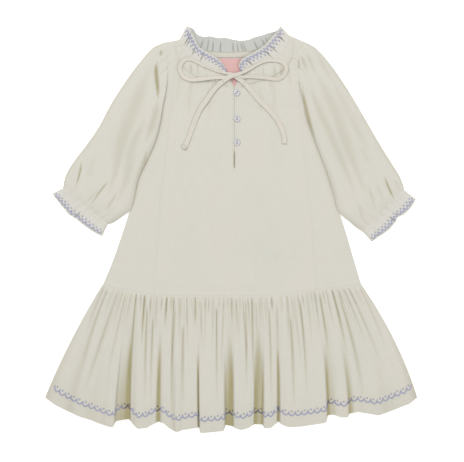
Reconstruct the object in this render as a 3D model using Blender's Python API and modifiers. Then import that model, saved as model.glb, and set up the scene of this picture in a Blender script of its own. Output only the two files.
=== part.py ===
"""Ramie dress for a child of about six, laid flat on its back.

Sizes are in millimetres in the tables and become metres where a mesh is made.
X runs to the right of the dress as seen, Y towards the neck, Z up from the surface it lies on.
"""
import bpy
import bmesh
import numpy as np
from mathutils import Vector

MM = 0.001

CLOTH = 1.2            # wall of the bodice, sleeves and ruffles
SKIRT_CLOTH = 1.5      # wall of the gathered tiers
SEAM = 0.2             # each piece stops this far short of its seam line
ARMHOLE_GAP = 0.8      # the sleeve head stands this far off the armhole edge

# Heights of the middle of each wall
BACK_LEVEL = CLOTH / 2
BACK_TRIM_LEVEL = 2.1      # casing strip on the inside of the back
FRONT_TRIM_ABOVE = 1.5     # casing strips over the front panels
SLEEVE_OVER_BODICE = 3.9   # the sleeve's under layer where it lies on the bodice
SKIRT_FRONT_LEVEL = 3.65
BACK_GATHER = 1.0          # rise of the back tier's gathers
FRONT_GATHER = 2.4         # rise of the front tier's gathers below its seam

# Height of the front panels' middle at each distance from the hem side: y, z
FRONT_LEVEL = [(-120, 3.4), (-92, 3.4), (-55, 2.1), (206, 2.1), (228, 3.4), (340, 3.4)]

# Seam lines and edges of the bodice: x, y
WAIST = [(-219, -97), (-195, -104), (-162, -110), (-130, -115), (-54, -117), (15, -117), (95, -114),
         (140, -106), (186, -102), (222, -97)]
BODY_LEFT = [(-113.4, 317.6), (-108.8, 302), (-107.6, 276), (-108.3, 255), (-112.2, 228), (-118, 210),
             (-127, 194), (-138, 168), (-147, 134), (-160, 83), (-172, 34), (-189, -19), (-201, -53), (-219, -97)]
BODY_RIGHT = [(131.8, 315.5), (116, 307), (110.5, 294), (112.4, 276), (114, 260), (116.3, 245), (120.7, 226),
              (127, 209), (137, 193), (147, 168), (156, 134), (170, 80), (185, 27), (196, -8), (209, -53),
              (222, -97)]
PANEL_SEAM_LEFT = [(-94, 285.5), (-95, 262), (-99, 228), (-102, 195), (-106, 162), (-110, 120), (-118, 46),
                   (-126, -53), (-131, -115)]
PANEL_SEAM_RIGHT = [(107, 290), (110, 270), (112.5, 245), (115, 208), (118, 169), (121, 134), (127, 82),
                    (134, 19), (138, -36), (144, -105.4)]
NECK_FRONT_LEFT = [(-88, 322), (-83.5, 310), (-75, 297), (-62, 286), (-46, 278), (-31, 271), (-16, 264), (-5, 259)]
NECK_FRONT_RIGHT = [(98, 330), (94, 313), (85, 299), (71, 287), (54, 280), (39, 274), (27, 267), (18, 260)]
CASING_EDGE_LEFT = [(-96, 319), (-94.5, 304), (-87, 285), (-73, 269), (-56, 259), (-36, 252), (-16, 246), (3, 239)]
CASING_EDGE_RIGHT = [(107, 325), (106, 304), (99, 284), (85, 269), (68, 259), (47, 252), (27, 246), (8, 239)]
RUFFLE_EDGE_LEFT = [(-75, 345.8), (-68, 337), (-62, 325), (-55, 310), (-42, 301), (-28, 293), (-17, 284),
                    (-10, 275), (-7, 267)]
RUFFLE_EDGE_RIGHT = [(84, 345), (77, 335), (66, 323), (56, 312), (43, 303), (27, 294), (17, 287), (13, 278),
                     (16, 269)]
NECK_BACK = [(-88, 322), (-70, 312), (-41, 303), (4, 301), (46, 304.5), (80, 315), (98, 330)]
BACK_CASING_EDGE = [(-95, 312), (-74, 302), (-43, 294), (4, 292.5), (50, 296), (85, 305), (105, 318)]
RUFFLE_EDGE_BACK = [(-74, 344.5), (-64, 340), (-56, 331), (-48, 327), (-36, 328), (-22, 325), (-9, 325.5),
                    (4, 322), (23, 321), (37, 325), (56, 331), (66, 334), (75, 337), (83, 344)]

# The front slit and the V where the casing ends part: y, half width of the opening
SLIT_X = 5.3
SLIT_TOP = 259
SLIT_OPENING = [(100, 0.5), (104, 0.5), (121, 1.0), (138, 0.5), (239, 0.5), (259, 9.0)]
SLIT_ROWS = [259, 249, 239, 210, 175, 138, 121, 104, 60, 10, -40, -80, -117]
SLIT_END_ROW = 7

# Sleeves, from shoulder to cuff: x, y
SLEEVE_LEFT_OUTER = [(-114.4, 317.4), (-134, 308), (-158, 281), (-182, 248), (-206, 210), (-225, 174), (-246, 143),
                     (-266, 117), (-281, 92), (-286.5, 69)]
SLEEVE_LEFT_INNER = [(-118.8, 208), (-120.5, 182), (-129.5, 148), (-146, 112), (-158, 86), (-171, 34), (-186, 21),
                     (-202, 10.5), (-210.5, 8)]
SLEEVE_RIGHT_OUTER = [(132.8, 315.3), (144.5, 308), (166.5, 284), (193, 246), (223, 196), (253, 144), (273, 112),
                      (286, 91), (293, 74), (294.5, 66)]
SLEEVE_RIGHT_INNER = [(128, 207), (129, 189), (135.5, 169), (149, 134), (166, 91), (178.5, 56), (185, 29),
                      (202, 12), (213, 2.5), (224.6, -4.6)]
CUFF_LEFT_EDGE = [(-304, 60), (-296, 49), (-283, 33), (-275, 24), (-264.5, 18), (-255, 10), (-240, -1), (-228, -8),
                  (-220, -11.5)]
CUFF_RIGHT_EDGE = [(314, 51), (306, 37), (293, 24.5), (283.5, 20), (280, 13), (267, -2), (250.5, -13.5),
                   (240, -21)]

# Folds of the front tier, one row each from left to right:
# x at the waist seam, x at the hem, y at the hem, height of the cloth at the hem
FRONT_FOLDS = [
    (-219, -316.5, -286.5, 0.6), (-215.5, -299.5, -298.5, 4.0), (-207, -277.5, -309.5, 2.5),
    (-199, -257, -318, 6.5), (-191.5, -240, -324, 3.5), (-184, -221.5, -330.5, 6.5),
    (-176.5, -206, -335, 10.0), (-173, -200, -335.5, 10.5), (-170, -196.5, -326.5, 3.5),
    (-166, -184, -324, 2.5), (-162, -173, -323, 1.0), (-157.5, -168.5, -329, 5.0),
    (-151.5, -158.5, -338.5, 8.5), (-139.5, -143, -337, 7.5), (-127, -133, -331.5, 5.0),
    (-114, -123.5, -327, 2.0), (-105.5, -113.5, -330, 6.0), (-100, -104, -338.5, 7.5),
    (-95.5, -99, -341.5, 6.0), (-89.5, -92, -344, 10.0), (-80, -82, -340.5, 7.5),
    (-69, -68.5, -338.5, 7.5), (-60.5, -59, -337, 6.0), (-56, -54.5, -336.5, 1.0),
    (-53, -52, -345.7, 8.5), (-34, -32.5, -344, 9.5), (-15, -13, -342, 9.0), (-11.5, -9.5, -332.5, 2.5),
    (1.5, 2.5, -335, 2.0), (5.5, 6.5, -337.5, 7.0), (16.5, 17.5, -340.5, 8.5), (28.5, 30, -337, 7.5),
    (33.5, 36.5, -332.5, 6.0), (37, 39.5, -331.5, 2.0), (50.5, 53.5, -332, 2.0), (54, 56.5, -338, 7.0),
    (62.5, 67, -337, 8.0), (69.5, 75.5, -330.5, 6.0), (74, 80, -326.5, 0.8), (78.5, 85.5, -331.5, 6.5),
    (89, 96.5, -335.5, 9.0), (106, 117, -335, 7.5), (120.5, 135.5, -332, 9.0), (133, 152.5, -329.5, 8.5),
    (138.5, 161, -328, 7.5), (142, 164, -316.5, 2.5), (149, 173, -315, 3.0), (158, 186.5, -319.5, 6.0),
    (163.5, 197.5, -319.5, 6.0), (167, 201, -313.5, 2.5), (174, 215.5, -310.5, 4.0), (183, 236, -313.5, 6.5),
    (190, 249.5, -316, 7.0), (198.5, 266.5, -311, 3.5), (208.5, 287, -302, 6.5), (216, 302.5, -296.5, 5.5),
    (222, 316.5, -286.5, 0.6)]
SKIRT_ROWS = [0, 0.07, 0.2, 0.42, 0.7, 1]
SKIRT_BULGE_LEFT = -5.0
SKIRT_BULGE_RIGHT = 9.0
HEM_BACK = [(-316, -285.5), (-264, -309), (-221, -320), (-201, -321.5), (-158, -322), (-94, -324.5), (-36, -328),
            (15, -328), (54, -326), (80, -322), (117, -323), (161, -313), (193, -310), (215, -307), (246, -307.5),
            (287, -296.5), (316, -285.5)]
GATHER_HALF_PITCH = 5.0

# Creases pressed into the sleeves' upper layer:
# place across and along at the start, the same at the end, depth, half width
SLEEVE_CREASES = [
    (0.42, 0.05, 0.80, 0.28, 2.2, 0.045), (0.30, 0.18, 0.55, 0.80, 1.1, 0.07),
    (0.72, 0.20, 0.74, 0.62, 1.3, 0.06), (0.32, 0.80, 0.36, 0.97, 1.8, 0.04),
    (0.66, 0.84, 0.62, 0.98, 1.8, 0.04)]

# Drawstring bow, tied at the neck: x, y, z along each free stretch
KNOT_CENTRE = (6, 260, 8.5)
KNOT_SIZE = (19, 11, 5)
LOOP_WIDTH = 4.6
LOOP_FLATNESS = 0.45
LOOP_LEFT = [(-4, 263.6, 9.4), (-14, 265.5, 9.4), (-26, 268.5, 9.3), (-43, 275, 9.2), (-58, 283, 9.2),
             (-68, 288, 9.0), (-78, 287.5, 8.6), (-85.5, 280, 8.2), (-86.5, 268.5, 7.4), (-80, 258, 6.8),
             (-68, 253.5, 7.2), (-52, 254.5, 8.2), (-34, 256.5, 8.8), (-17, 257, 9.3), (-4, 257, 9.4)]
LOOP_RIGHT = [(16, 264, 9.4), (29, 270.5, 9.4), (42, 278, 9.3), (54, 284, 9.2), (66, 286.5, 9.0), (78, 286, 8.8),
              (88, 282.5, 8.4), (93.5, 274.5, 8.2), (92, 265, 7.4), (86, 258, 6.8), (77, 254.5, 7.2),
              (61, 256.5, 8.2), (47, 258, 8.8), (31, 258.5, 9.3), (16, 257.5, 9.4)]
TAIL_WIDTH = 8.5
TAIL_FLATNESS = 0.26
TAIL_LEFT = [(-3.4, 253.2, 7.0), (-10, 249.5, 7.0), (-20, 242.5, 6.9), (-31, 232.5, 6.0), (-42, 219, 5.6), (-52, 205, 5.0),
             (-60, 188, 4.4), (-67, 170, 4.3), (-73, 153, 4.3), (-79, 139, 4.3)]
TAIL_RIGHT = [(15.2, 253, 7.0), (21.5, 248.5, 7.0), (31, 238.5, 6.7), (45, 222, 5.7), (62, 205, 5.0), (78, 186, 4.4),
              (86.5, 169, 4.3), (90.5, 155, 4.3), (90.5, 145, 4.3)]

# Buttons: x, y, turn of the two holes in degrees
BUTTONS = [(9.4, 232, 45), (9.9, 188, 90), (10.0, 148, 90)]
BUTTON_RADIUS = 5.7
BUTTON_THICKNESS = 2.0
BUTTON_HOLE_RADIUS = 0.8
BUTTON_HOLE_SPREAD = 1.6

LABEL_LEFT = -20
LABEL_RIGHT = 24
LABEL_TOP = 291
LABEL_BOTTOM = 238
LABEL_LEVEL = 2.0

IVORY = (0.72, 0.70, 0.62, 1)
PALE_TRIM = (0.68, 0.68, 0.70, 1)
TAPE = (0.74, 0.69, 0.61, 1)
PINK = (0.85, 0.55, 0.54, 1)
PEARL = (0.78, 0.78, 0.82, 1)


# Lines through the tables

def outline(rows, steps=10):
    """Many close points on a smooth line through the rows of a table."""
    points = np.array(rows, float)
    lengths = np.linalg.norm(np.diff(points, axis=0), axis=1)
    slopes = np.empty_like(points)
    slopes[0] = (points[1] - points[0]) / lengths[0]
    slopes[-1] = (points[-1] - points[-2]) / lengths[-1]
    for index in range(1, len(points) - 1):
        slopes[index] = (points[index + 1] - points[index - 1]) / (lengths[index - 1] + lengths[index])
    line = []
    for index, length in enumerate(lengths):
        for part in np.arange(steps) / steps:
            start_weight = 2 * part ** 3 - 3 * part ** 2 + 1
            leave_weight = part ** 3 - 2 * part ** 2 + part
            arrive_weight = part ** 3 - part ** 2
            line.append(start_weight * points[index] + (1 - start_weight) * points[index + 1]
                        + length * (leave_weight * slopes[index] + arrive_weight * slopes[index + 1]))
    line.append(points[-1])
    return np.array(line)


def at_part(line, part):
    """The point at a part, 0 to 1, of the line's length."""
    lengths = np.concatenate([[0], np.cumsum(np.linalg.norm(np.diff(line, axis=0), axis=1))])
    return np.array([np.interp(part * lengths[-1], lengths, line[:, axis]) for axis in range(line.shape[1])])


def beside(line, distance):
    """The line moved sideways, to its right as it runs, by a distance."""
    along = np.gradient(line, axis=0)
    along /= np.linalg.norm(along, axis=1)[:, None]
    return line + distance * np.stack([along[:, 1], -along[:, 0]], axis=1)


def x_at(line, y):
    """Where a line that runs down the dress crosses a height y."""
    order = np.argsort(line[:, 1])
    return np.interp(y, line[order, 1], line[order, 0])


def y_at(line, x):
    """Where a line that runs across the dress crosses a place x."""
    order = np.argsort(line[:, 0])
    return np.interp(x, line[order, 0], line[order, 1])


def ease(value, start, end):
    """0 before start, 1 after end and a soft step between."""
    part = min(max((value - start) / (end - start), 0), 1)
    return part * part * (3 - 2 * part)


def front_level(y):
    return np.interp(y, [row[0] for row in FRONT_LEVEL], [row[1] for row in FRONT_LEVEL])


WAIST_LINE = outline(WAIST)
BODY_LEFT_LINE = outline(BODY_LEFT)
BODY_RIGHT_LINE = outline(BODY_RIGHT)
PANEL_LEFT_LINE = outline(PANEL_SEAM_LEFT)
PANEL_RIGHT_LINE = outline(PANEL_SEAM_RIGHT)
HEM_BACK_LINE = outline(HEM_BACK)


def patch(top, bottom, left, right, across, along):
    """A point inside four edges, each a function of the part of its length."""
    from_sides = (1 - across) * left(along) + across * right(along)
    from_ends = (1 - along) * top(across) + along * bottom(across)
    corners = ((1 - across) * (1 - along) * top(0) + across * (1 - along) * top(1)
               + (1 - across) * along * bottom(0) + across * along * bottom(1))
    return from_sides + from_ends - corners


def side_edge(line, top_y, bottom_y, shift):
    """An edge that follows a line down the dress, moved sideways by a seam's half gap."""
    def edge(part):
        y = top_y + (bottom_y - top_y) * part
        return np.array([x_at(line, y) + shift, y])
    return edge


def cross_edge(line, left_x, right_x, shift):
    """An edge that follows a line across the dress, moved up or down."""
    def edge(part):
        x = left_x + (right_x - left_x) * part
        return np.array([x, y_at(line, x) + shift])
    return edge


# Making the solids

def start_scene():
    for item in list(bpy.data.objects):
        bpy.data.objects.remove(item, do_unlink=True)
    collection = bpy.data.collections.new("ramie_dress")
    bpy.context.scene.collection.children.link(collection)
    return collection


COLLECTION = start_scene()


def finish_material(name, colour, roughness, metallic=0.0):
    material = bpy.data.materials.new(name)
    material.use_nodes = True
    shader = material.node_tree.nodes["Principled BSDF"]
    shader.inputs["Base Color"].default_value = colour
    shader.inputs["Roughness"].default_value = roughness
    shader.inputs["Metallic"].default_value = metallic
    return material


def add_object(name, data, colour, roughness):
    item = bpy.data.objects.new(name, data)
    data.materials.append(finish_material(name + "_finish", colour, roughness))
    COLLECTION.objects.link(item)
    return item


def cloth(name, surface, columns, rows, colour=IVORY, wall=CLOTH, closed=False, cut=None):
    """A wall of cloth: a grid bent by surface(across, along) and given its thickness."""
    grid = bmesh.new()
    bmesh.ops.create_grid(grid, x_segments=columns, y_segments=rows, size=0.5)
    places = {}
    for vertex in grid.verts:
        column = round((vertex.co.x + 0.5) * columns)
        row = round((0.5 - vertex.co.y) * rows)
        places[vertex] = (column, row)
    if cut:
        cut_column, cut_rows = cut
        slit = [face for face in grid.faces
                if min(places[vertex][0] for vertex in face.verts) == cut_column
                and max(places[vertex][1] for vertex in face.verts) <= cut_rows]
        bmesh.ops.delete(grid, geom=slit, context="FACES")
    for vertex in grid.verts:
        column, row = places[vertex]
        vertex.co = Vector(surface(column / columns, row / rows)) * MM
    if closed:
        bmesh.ops.remove_doubles(grid, verts=grid.verts, dist=0.00001)
    mesh = bpy.data.meshes.new(name)
    grid.to_mesh(mesh)
    grid.free()
    item = add_object(name, mesh, colour, 0.85)
    thickness = item.modifiers.new("wall", "SOLIDIFY")
    thickness.thickness = wall * MM
    thickness.offset = 0
    return item


# Bodice

def back_panel():
    neck = np.vstack([outline([(-113.4, 317.6), (-101, 320), (-90, 321)]), outline(NECK_BACK)[2:-2],
                      outline([(99, 328.5), (115, 323), (131.8, 315.5)])])
    below_neck = 3 * SEAM
    top = cross_edge(neck, -113.4, 131.8, -below_neck)
    bottom = cross_edge(WAIST_LINE, -219, 222, SEAM)
    left = side_edge(BODY_LEFT_LINE, 317.6 - below_neck, -97, 0)
    right = side_edge(BODY_RIGHT_LINE, 315.5 - below_neck, -97, 0)

    def surface(across, along):
        x, y = patch(top, bottom, left, right, across, along ** 1.5)
        return x, y, BACK_LEVEL
    return cloth("back_panel", surface, 24, 16)


def yoke(name, body_line, neck_rows, shoulder_x, armhole_foot, neck_foot, outer_first):
    """The small patch at the shoulder, between neck and armhole."""
    neck_line = outline(neck_rows)
    body_top = body_line[0]
    neck_top = neck_line[0]

    def armhole(part):
        y = body_top[1] + (armhole_foot - body_top[1]) * part
        return np.array([x_at(body_line, y), y])

    def neckline(part):
        y = neck_top[1] + (neck_foot - neck_top[1]) * part
        return np.array([x_at(neck_line, y), y])

    def shoulder(part):
        return (1 - part) * armhole(0) + part * neckline(0)

    def foot(part):
        return (1 - part) * armhole(1) + part * neckline(1) + np.array([0, SEAM])

    def surface(across, along):
        place = across if outer_first else 1 - across
        x, y = patch(shoulder, foot, armhole, neckline, place, along)
        return x, y, front_level(y)
    return cloth(name, surface, 4, 5)


YOKE_LEFT_FEET = (283, 300)
YOKE_RIGHT_FEET = (290, 303)


def front_side(name, body_line, seam_line, body_top, seam_top, body_on_left):
    seam_foot = seam_line[-1]
    body_foot = body_line[-1]
    shift = SEAM if not body_on_left else -SEAM

    def outer(part):
        return side_edge(body_line, body_top, body_foot[1] + SEAM, 0)(part)

    def inner(part):
        return side_edge(seam_line, seam_top, seam_foot[1] + SEAM, shift)(part)

    def top(part):
        return (1 - part) * outer(0) + part * inner(0)

    def bottom(part):
        start, end = outer(1), inner(1)
        x = start[0] + (end[0] - start[0]) * part
        return np.array([x, y_at(WAIST_LINE, x) + SEAM])

    def surface(across, along):
        place = across if body_on_left else 1 - across
        along = along ** 1.35
        x, y = patch(top, bottom, outer, inner, place, along)
        return x, y, front_level(y)
    return cloth(name, surface, 5, 14)


def slit_spread(x, y, side):
    """Moves a point of one side, -1 or 1, away from the slit to open it."""
    opening = np.interp(y, [row[0] for row in SLIT_OPENING], [row[1] for row in SLIT_OPENING])
    reach = 45
    distance = max((x - SLIT_X) * side, 0)
    if distance >= reach:
        return x
    return SLIT_X + side * (opening + distance * (1 - opening / reach))


def centre_top_line():
    """Top edge of the centre panel: below each yoke, then along the neck."""
    left_neck = outline(NECK_FRONT_LEFT)
    right_neck = outline(NECK_FRONT_RIGHT)
    left = left_neck[left_neck[:, 1] < YOKE_LEFT_FEET[1] - 1]
    right = right_neck[right_neck[:, 1] < YOKE_RIGHT_FEET[1] - 1][::-1]
    return np.vstack([[(-93.8, 290.3)], left, [(SLIT_X, SLIT_TOP)], right, [(106.8, 290.5)]])


def front_centre_panel():
    top_line = centre_top_line()
    top = cross_edge(top_line, -93.8, 106.8, -SEAM)
    bottom_left_x, bottom_right_x = -131 + SEAM, 144 - SEAM
    bottom = cross_edge(WAIST_LINE, bottom_left_x, bottom_right_x, SEAM)
    left = side_edge(PANEL_LEFT_LINE, 290.3 - SEAM, y_at(WAIST_LINE, bottom_left_x) + SEAM, SEAM)
    right = side_edge(PANEL_RIGHT_LINE, 290.5 - SEAM, y_at(WAIST_LINE, bottom_right_x) + SEAM, -SEAM)
    half = 9
    columns = 2 * half + 1
    slit_at_top = (SLIT_X + 93.8) / (106.8 + 93.8)
    slit_at_foot = (SLIT_X - bottom_left_x) / (bottom_right_x - bottom_left_x)

    def surface(across, along):
        column = round(across * columns)
        row = round(along * (len(SLIT_ROWS) - 1))
        down = (SLIT_TOP - SLIT_ROWS[row]) / (SLIT_TOP - SLIT_ROWS[-1])
        slit = slit_at_top + (slit_at_foot - slit_at_top) * down
        if column <= half:
            place = slit * column / half - 1e-4 * (column == half)
        else:
            place = slit + (1 - slit) * (column - half - 1) / half + 1e-4 * (column == half + 1)
        x, y = patch(top, bottom, left, right, place, down)
        x = slit_spread(x, y, -1 if column <= half else 1)
        return x, y, front_level(y)
    return cloth("front_centre_panel", surface, columns, len(SLIT_ROWS) - 1, cut=(half, SLIT_END_ROW))


# Neck trims

def wave(part, count, sharpness=1.0):
    """Gathers between 0 and 1: broad tops and tight valleys when sharpness is over 1."""
    return 1 - abs(np.cos(np.pi * part * count)) ** (2 * sharpness)


def front_casing(name, neck_rows, edge_rows, columns, left_side):
    neck_line, edge_line = outline(neck_rows), outline(edge_rows)

    def surface(across, along):
        place = across if left_side else 1 - across
        x, y = (1 - along) * at_part(neck_line, place) + along * at_part(edge_line, place)
        gather = 0.9 * wave(place, 10) * ease(1 - place, 0.12, 0.4)
        return x, y, front_level(y) + FRONT_TRIM_ABOVE + gather
    return cloth(name, surface, columns, 2)


def front_ruffle(name, neck_rows, edge_rows, left_side):
    neck_line, edge_line = outline(neck_rows), outline(edge_rows)
    waves = 10

    def surface(across, along):
        place = across if left_side else 1 - across
        out = 1 - along
        base, edge = at_part(neck_line, place), at_part(edge_line, place)
        foot = base + (edge - base) * 0.03
        x, y = foot + (edge - foot) * out
        pressed = 0.25 + 0.75 * ease(1 - place, 0.02, 0.2)
        rise = 3.2 * out * ease(place, -0.1, 0.3) * pressed
        flute = (0.5 + 1.3 * out) * wave(place, waves) * pressed
        return x, y, front_level(y) + FRONT_TRIM_ABOVE + rise + flute
    return cloth(name, surface, 40, 2, colour=PALE_TRIM)


def back_ruffle():
    neck_line, edge_line = outline(NECK_BACK), outline(RUFFLE_EDGE_BACK)

    def surface(across, along):
        out = 1 - along
        base, edge = at_part(neck_line, across), at_part(edge_line, across)
        foot = base + (edge - base) * 0.03
        x, y = foot + (edge - foot) * out
        middle = ease(min(across, 1 - across), 0.03, 0.2)
        flute = 2.0 * wave(across, 12) * middle
        turn_up = 2.2 * (1 - ease(min(across, 1 - across), 0.0, 0.09))
        return x, y, BACK_LEVEL + flute + turn_up
    return cloth("neck_ruffle_back", surface, 48, 2, colour=PALE_TRIM)


def back_casing():
    neck_line, edge_line = outline(NECK_BACK), outline(BACK_CASING_EDGE)

    def surface(across, along):
        place = 0.03 + 0.94 * across
        x, y = (1 - along) * at_part(neck_line, place) + along * at_part(edge_line, place)
        return x, y - SEAM, BACK_TRIM_LEVEL
    return cloth("neck_casing_back", surface, 24, 1)


def label():
    def surface(across, along):
        x = LABEL_LEFT + (LABEL_RIGHT - LABEL_LEFT) * across
        return x, LABEL_TOP + (LABEL_BOTTOM - LABEL_TOP) * along, LABEL_LEVEL
    return cloth("label", surface, 2, 2, colour=PINK, wall=1.0)


# Gathered tiers

def gather_stops(start, end):
    """Tops and valleys of the gathers along the waist seam: places and heights."""
    places, heights = [start], [0.5]
    index = 0
    while places[-1] < end - GATHER_HALF_PITCH:
        index += 1
        places.append(places[-1] + GATHER_HALF_PITCH * (1 + 0.22 * np.sin(2.1 * index)))
        high = 0.85 + 0.15 * np.sin(1.7 * index)
        low = 0.12 + 0.10 * np.sin(2.9 * index)
        heights.append(high if index % 2 else low)
    places.append(end)
    heights.append(0.4)
    return np.array(places), np.array(heights)


def soft_between(x, places, heights):
    """Heights joined by soft steps."""
    index = int(np.clip(np.searchsorted(places, x) - 1, 0, len(places) - 2))
    part = (x - places[index]) / (places[index + 1] - places[index])
    part = min(max(part, 0), 1)
    return heights[index] + (heights[index + 1] - heights[index]) * (1 - np.cos(np.pi * part)) / 2


def skirt_columns(fold_places, gather_places):
    """Columns on every fold and on the gathers that stand clear of one."""
    columns = list(fold_places)
    for place in gather_places:
        if min(abs(place - fold) for fold in fold_places) > 0.36 * GATHER_HALF_PITCH:
            columns.append(place)
    columns.sort()
    full = [columns[0]]
    for place in columns[1:]:
        if place - full[-1] > 0.8 * GATHER_HALF_PITCH:
            full.append((place + full[-1]) / 2)
        full.append(place)
    return np.array(full)


def front_skirt():
    folds = np.array(FRONT_FOLDS, float)
    gather_places, gather_heights = gather_stops(folds[0, 0], folds[-1, 0])
    columns = skirt_columns(folds[:, 0], gather_places)

    def surface(across, along):
        top_x = columns[round(across * (len(columns) - 1))]
        down = SKIRT_ROWS[round(along * (len(SKIRT_ROWS) - 1))]
        hem_x, hem_y = np.interp(top_x, folds[:, 0], folds[:, 1]), np.interp(top_x, folds[:, 0], folds[:, 2])
        side = (top_x - folds[0, 0]) / (folds[-1, 0] - folds[0, 0])
        bulge = SKIRT_BULGE_LEFT * (1 - side) ** 3 + SKIRT_BULGE_RIGHT * side ** 3
        x = top_x + (hem_x - top_x) * down + bulge * 4 * down * (1 - down)
        top_y = y_at(WAIST_LINE, top_x) - SEAM
        y = top_y + (hem_y - top_y) * down
        gather = FRONT_GATHER * soft_between(top_x, gather_places, gather_heights)
        gather *= (0.55 + 0.45 * ease(down, 0, 0.08)) * (1 - ease(down, 0.12, 0.75))
        fold = np.interp(top_x, folds[:, 0], folds[:, 3]) * down ** 0.75
        edge = ease(min(side, 1 - side), 0, 0.02)
        level = BACK_LEVEL + 2.0 + (SKIRT_FRONT_LEVEL - BACK_LEVEL - 2.0) * edge
        return x, y, level + gather + fold
    return cloth("front_skirt", surface, len(columns) - 1, len(SKIRT_ROWS) - 1, wall=SKIRT_CLOTH)


def back_skirt():
    left_top, right_top = WAIST[0][0] + 0.5, WAIST[-1][0] - 0.5
    left_hem, right_hem = HEM_BACK[0][0] + 1, HEM_BACK[-1][0] - 1
    gathers = 34
    rows = [0, 0.12, 0.45, 1]

    def surface(across, along):
        down = rows[round(along * (len(rows) - 1))]
        top_x = left_top + (right_top - left_top) * across
        hem_x = left_hem + (right_hem - left_hem) * across
        top_y, hem_y = y_at(WAIST_LINE, top_x) - 3 * SEAM, y_at(HEM_BACK_LINE, hem_x)
        bulge = SKIRT_BULGE_LEFT * (1 - across) ** 3 + SKIRT_BULGE_RIGHT * across ** 3
        x = top_x + (hem_x - top_x) * down + bulge * 4 * down * (1 - down)
        y = top_y + (hem_y - top_y) * down
        gather = BACK_GATHER * wave(across, gathers) * (1 - ease(down, 0.1, 0.9))
        return x, y, SKIRT_CLOTH / 2 + gather
    return cloth("back_skirt", surface, gathers * 2, len(rows) - 1, wall=SKIRT_CLOTH)


# Sleeves and cuffs

TOP_COLUMNS = 24
UNDER_COLUMNS = 8
RING = TOP_COLUMNS + UNDER_COLUMNS


def ring_place(around, top_columns, under_columns):
    """Place across a flattened tube and whether it is the upper layer, the fold or the under layer."""
    column = around * (top_columns + under_columns)
    if column <= top_columns:
        across = column / top_columns
        layer = 1
    else:
        across = 1 - (column - top_columns) / under_columns
        layer = -1
    if across < 1e-6 or across > 1 - 1e-6:
        layer = 0
    return across, layer


def crease_depth(across, along):
    depth = 0.0
    for start_across, start_along, end_across, end_along, deep, half_width in SLEEVE_CREASES:
        part = (along - start_along) / (end_along - start_along)
        centre = start_across + (end_across - start_across) * part
        window = ease(part, -0.15, 0.25) * (1 - ease(part, 0.75, 1.15))
        depth += deep * window * np.exp(-((across - centre) / half_width) ** 2)
    return depth


def sleeve(name, outer_rows, inner_rows, body_line, underarm_y, side):
    outer_line, inner_line = outline(outer_rows), outline(inner_rows)
    armhole = beside(body_line, -side * ARMHOLE_GAP)[body_line[:, 1] >= underarm_y]
    rows = 10

    def plan(across, along):
        straight = (1 - across) * at_part(outer_line, along) + across * at_part(inner_line, along)
        start = (1 - across) * at_part(outer_line, 0) + across * at_part(inner_line, 0)
        return straight + (at_part(armhole, across) - start) * (1 - along) ** 3

    def surface(around, along):
        across, layer = ring_place(around, TOP_COLUMNS, UNDER_COLUMNS)
        x, y = plan(across, along)
        over_bodice = ease(across, 0.45, 0.75) * (1 - ease(along, 0.84, 0.99))
        under = BACK_LEVEL + (SLEEVE_OVER_BODICE - BACK_LEVEL) * over_bodice
        if layer == 0:
            return x, y, under + 1.4
        if layer < 0:
            return x, y, under
        puff = 3.0 * (4 * across * (1 - across)) ** 0.6 * ease(along, -0.1, 0.25) * (1 - 0.4 * ease(along, 0.85, 1))
        head = 1.3 * wave(across, 6) * (1 - ease(along, 0.02, 0.35)) * ease(across, 0, 0.1) * (1 - ease(across, 0.6, 0.9))
        cuff = 1.2 * wave(across, 7) * ease(along, 0.7, 1)
        lift = max(under + 2.8, 3.4)
        return x, y, lift + puff + head + cuff - min(crease_depth(across, along), puff + 0.3)
    return cloth(name, surface, RING, rows, closed=True)


def cuff(name, base_outer, base_inner, edge_rows):
    """The ruffle below the elastic line, a short flattened tube with flutes."""
    edge_line = outline(edge_rows)
    top_columns, under_columns = 36, 8

    def surface(around, along):
        across, layer = ring_place(around, top_columns, under_columns)
        base = (1 - across) * np.array(base_outer) + across * np.array(base_inner)
        edge = at_part(edge_line, across)
        start = base + (edge - base) * 0.012
        x, y = start + (edge - start) * along
        if layer == 0:
            return x, y, BACK_LEVEL + 1.4
        if layer < 0:
            return x, y, BACK_LEVEL
        flute = (1.0 + 0.9 * along) * wave(across, 11) * ease(min(across, 1 - across), 0, 0.08)
        return x, y, BACK_LEVEL + 2.8 + 0.8 * (1 - along) + flute
    return cloth(name, surface, top_columns + under_columns, 2, colour=PALE_TRIM, closed=True)


# Drawstring and buttons

def knot():
    body = bmesh.new()
    bmesh.ops.create_cube(body, size=1)
    bmesh.ops.scale(body, vec=Vector(KNOT_SIZE) * MM, verts=body.verts)
    bmesh.ops.bevel(body, geom=body.edges[:], offset=1.6 * MM, segments=2, affect="EDGES", profile=0.5)
    mesh = bpy.data.meshes.new("bow_knot")
    body.to_mesh(mesh)
    body.free()
    item = add_object("bow_knot", mesh, TAPE, 0.85)
    item.location = Vector(KNOT_CENTRE) * MM
    return item


def tape(name, route, width, flatness, points):
    """A flat tape: a round tube along the route, squeezed to the tape's thickness."""
    line = outline(route)
    curve = bpy.data.curves.new(name, "CURVE")
    curve.dimensions = "3D"
    curve.bevel_depth = width / 2 * MM
    curve.bevel_resolution = 2
    curve.use_fill_caps = True
    spline = curve.splines.new("POLY")
    spline.points.add(points - 1)
    for index in range(points):
        x, y, z = at_part(line, index / (points - 1))
        spline.points[index].co = (x * MM, y * MM, z * MM / flatness, 1)
    item = add_object(name, curve, TAPE, 0.85)
    item.scale = (1, 1, flatness)
    return item


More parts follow.
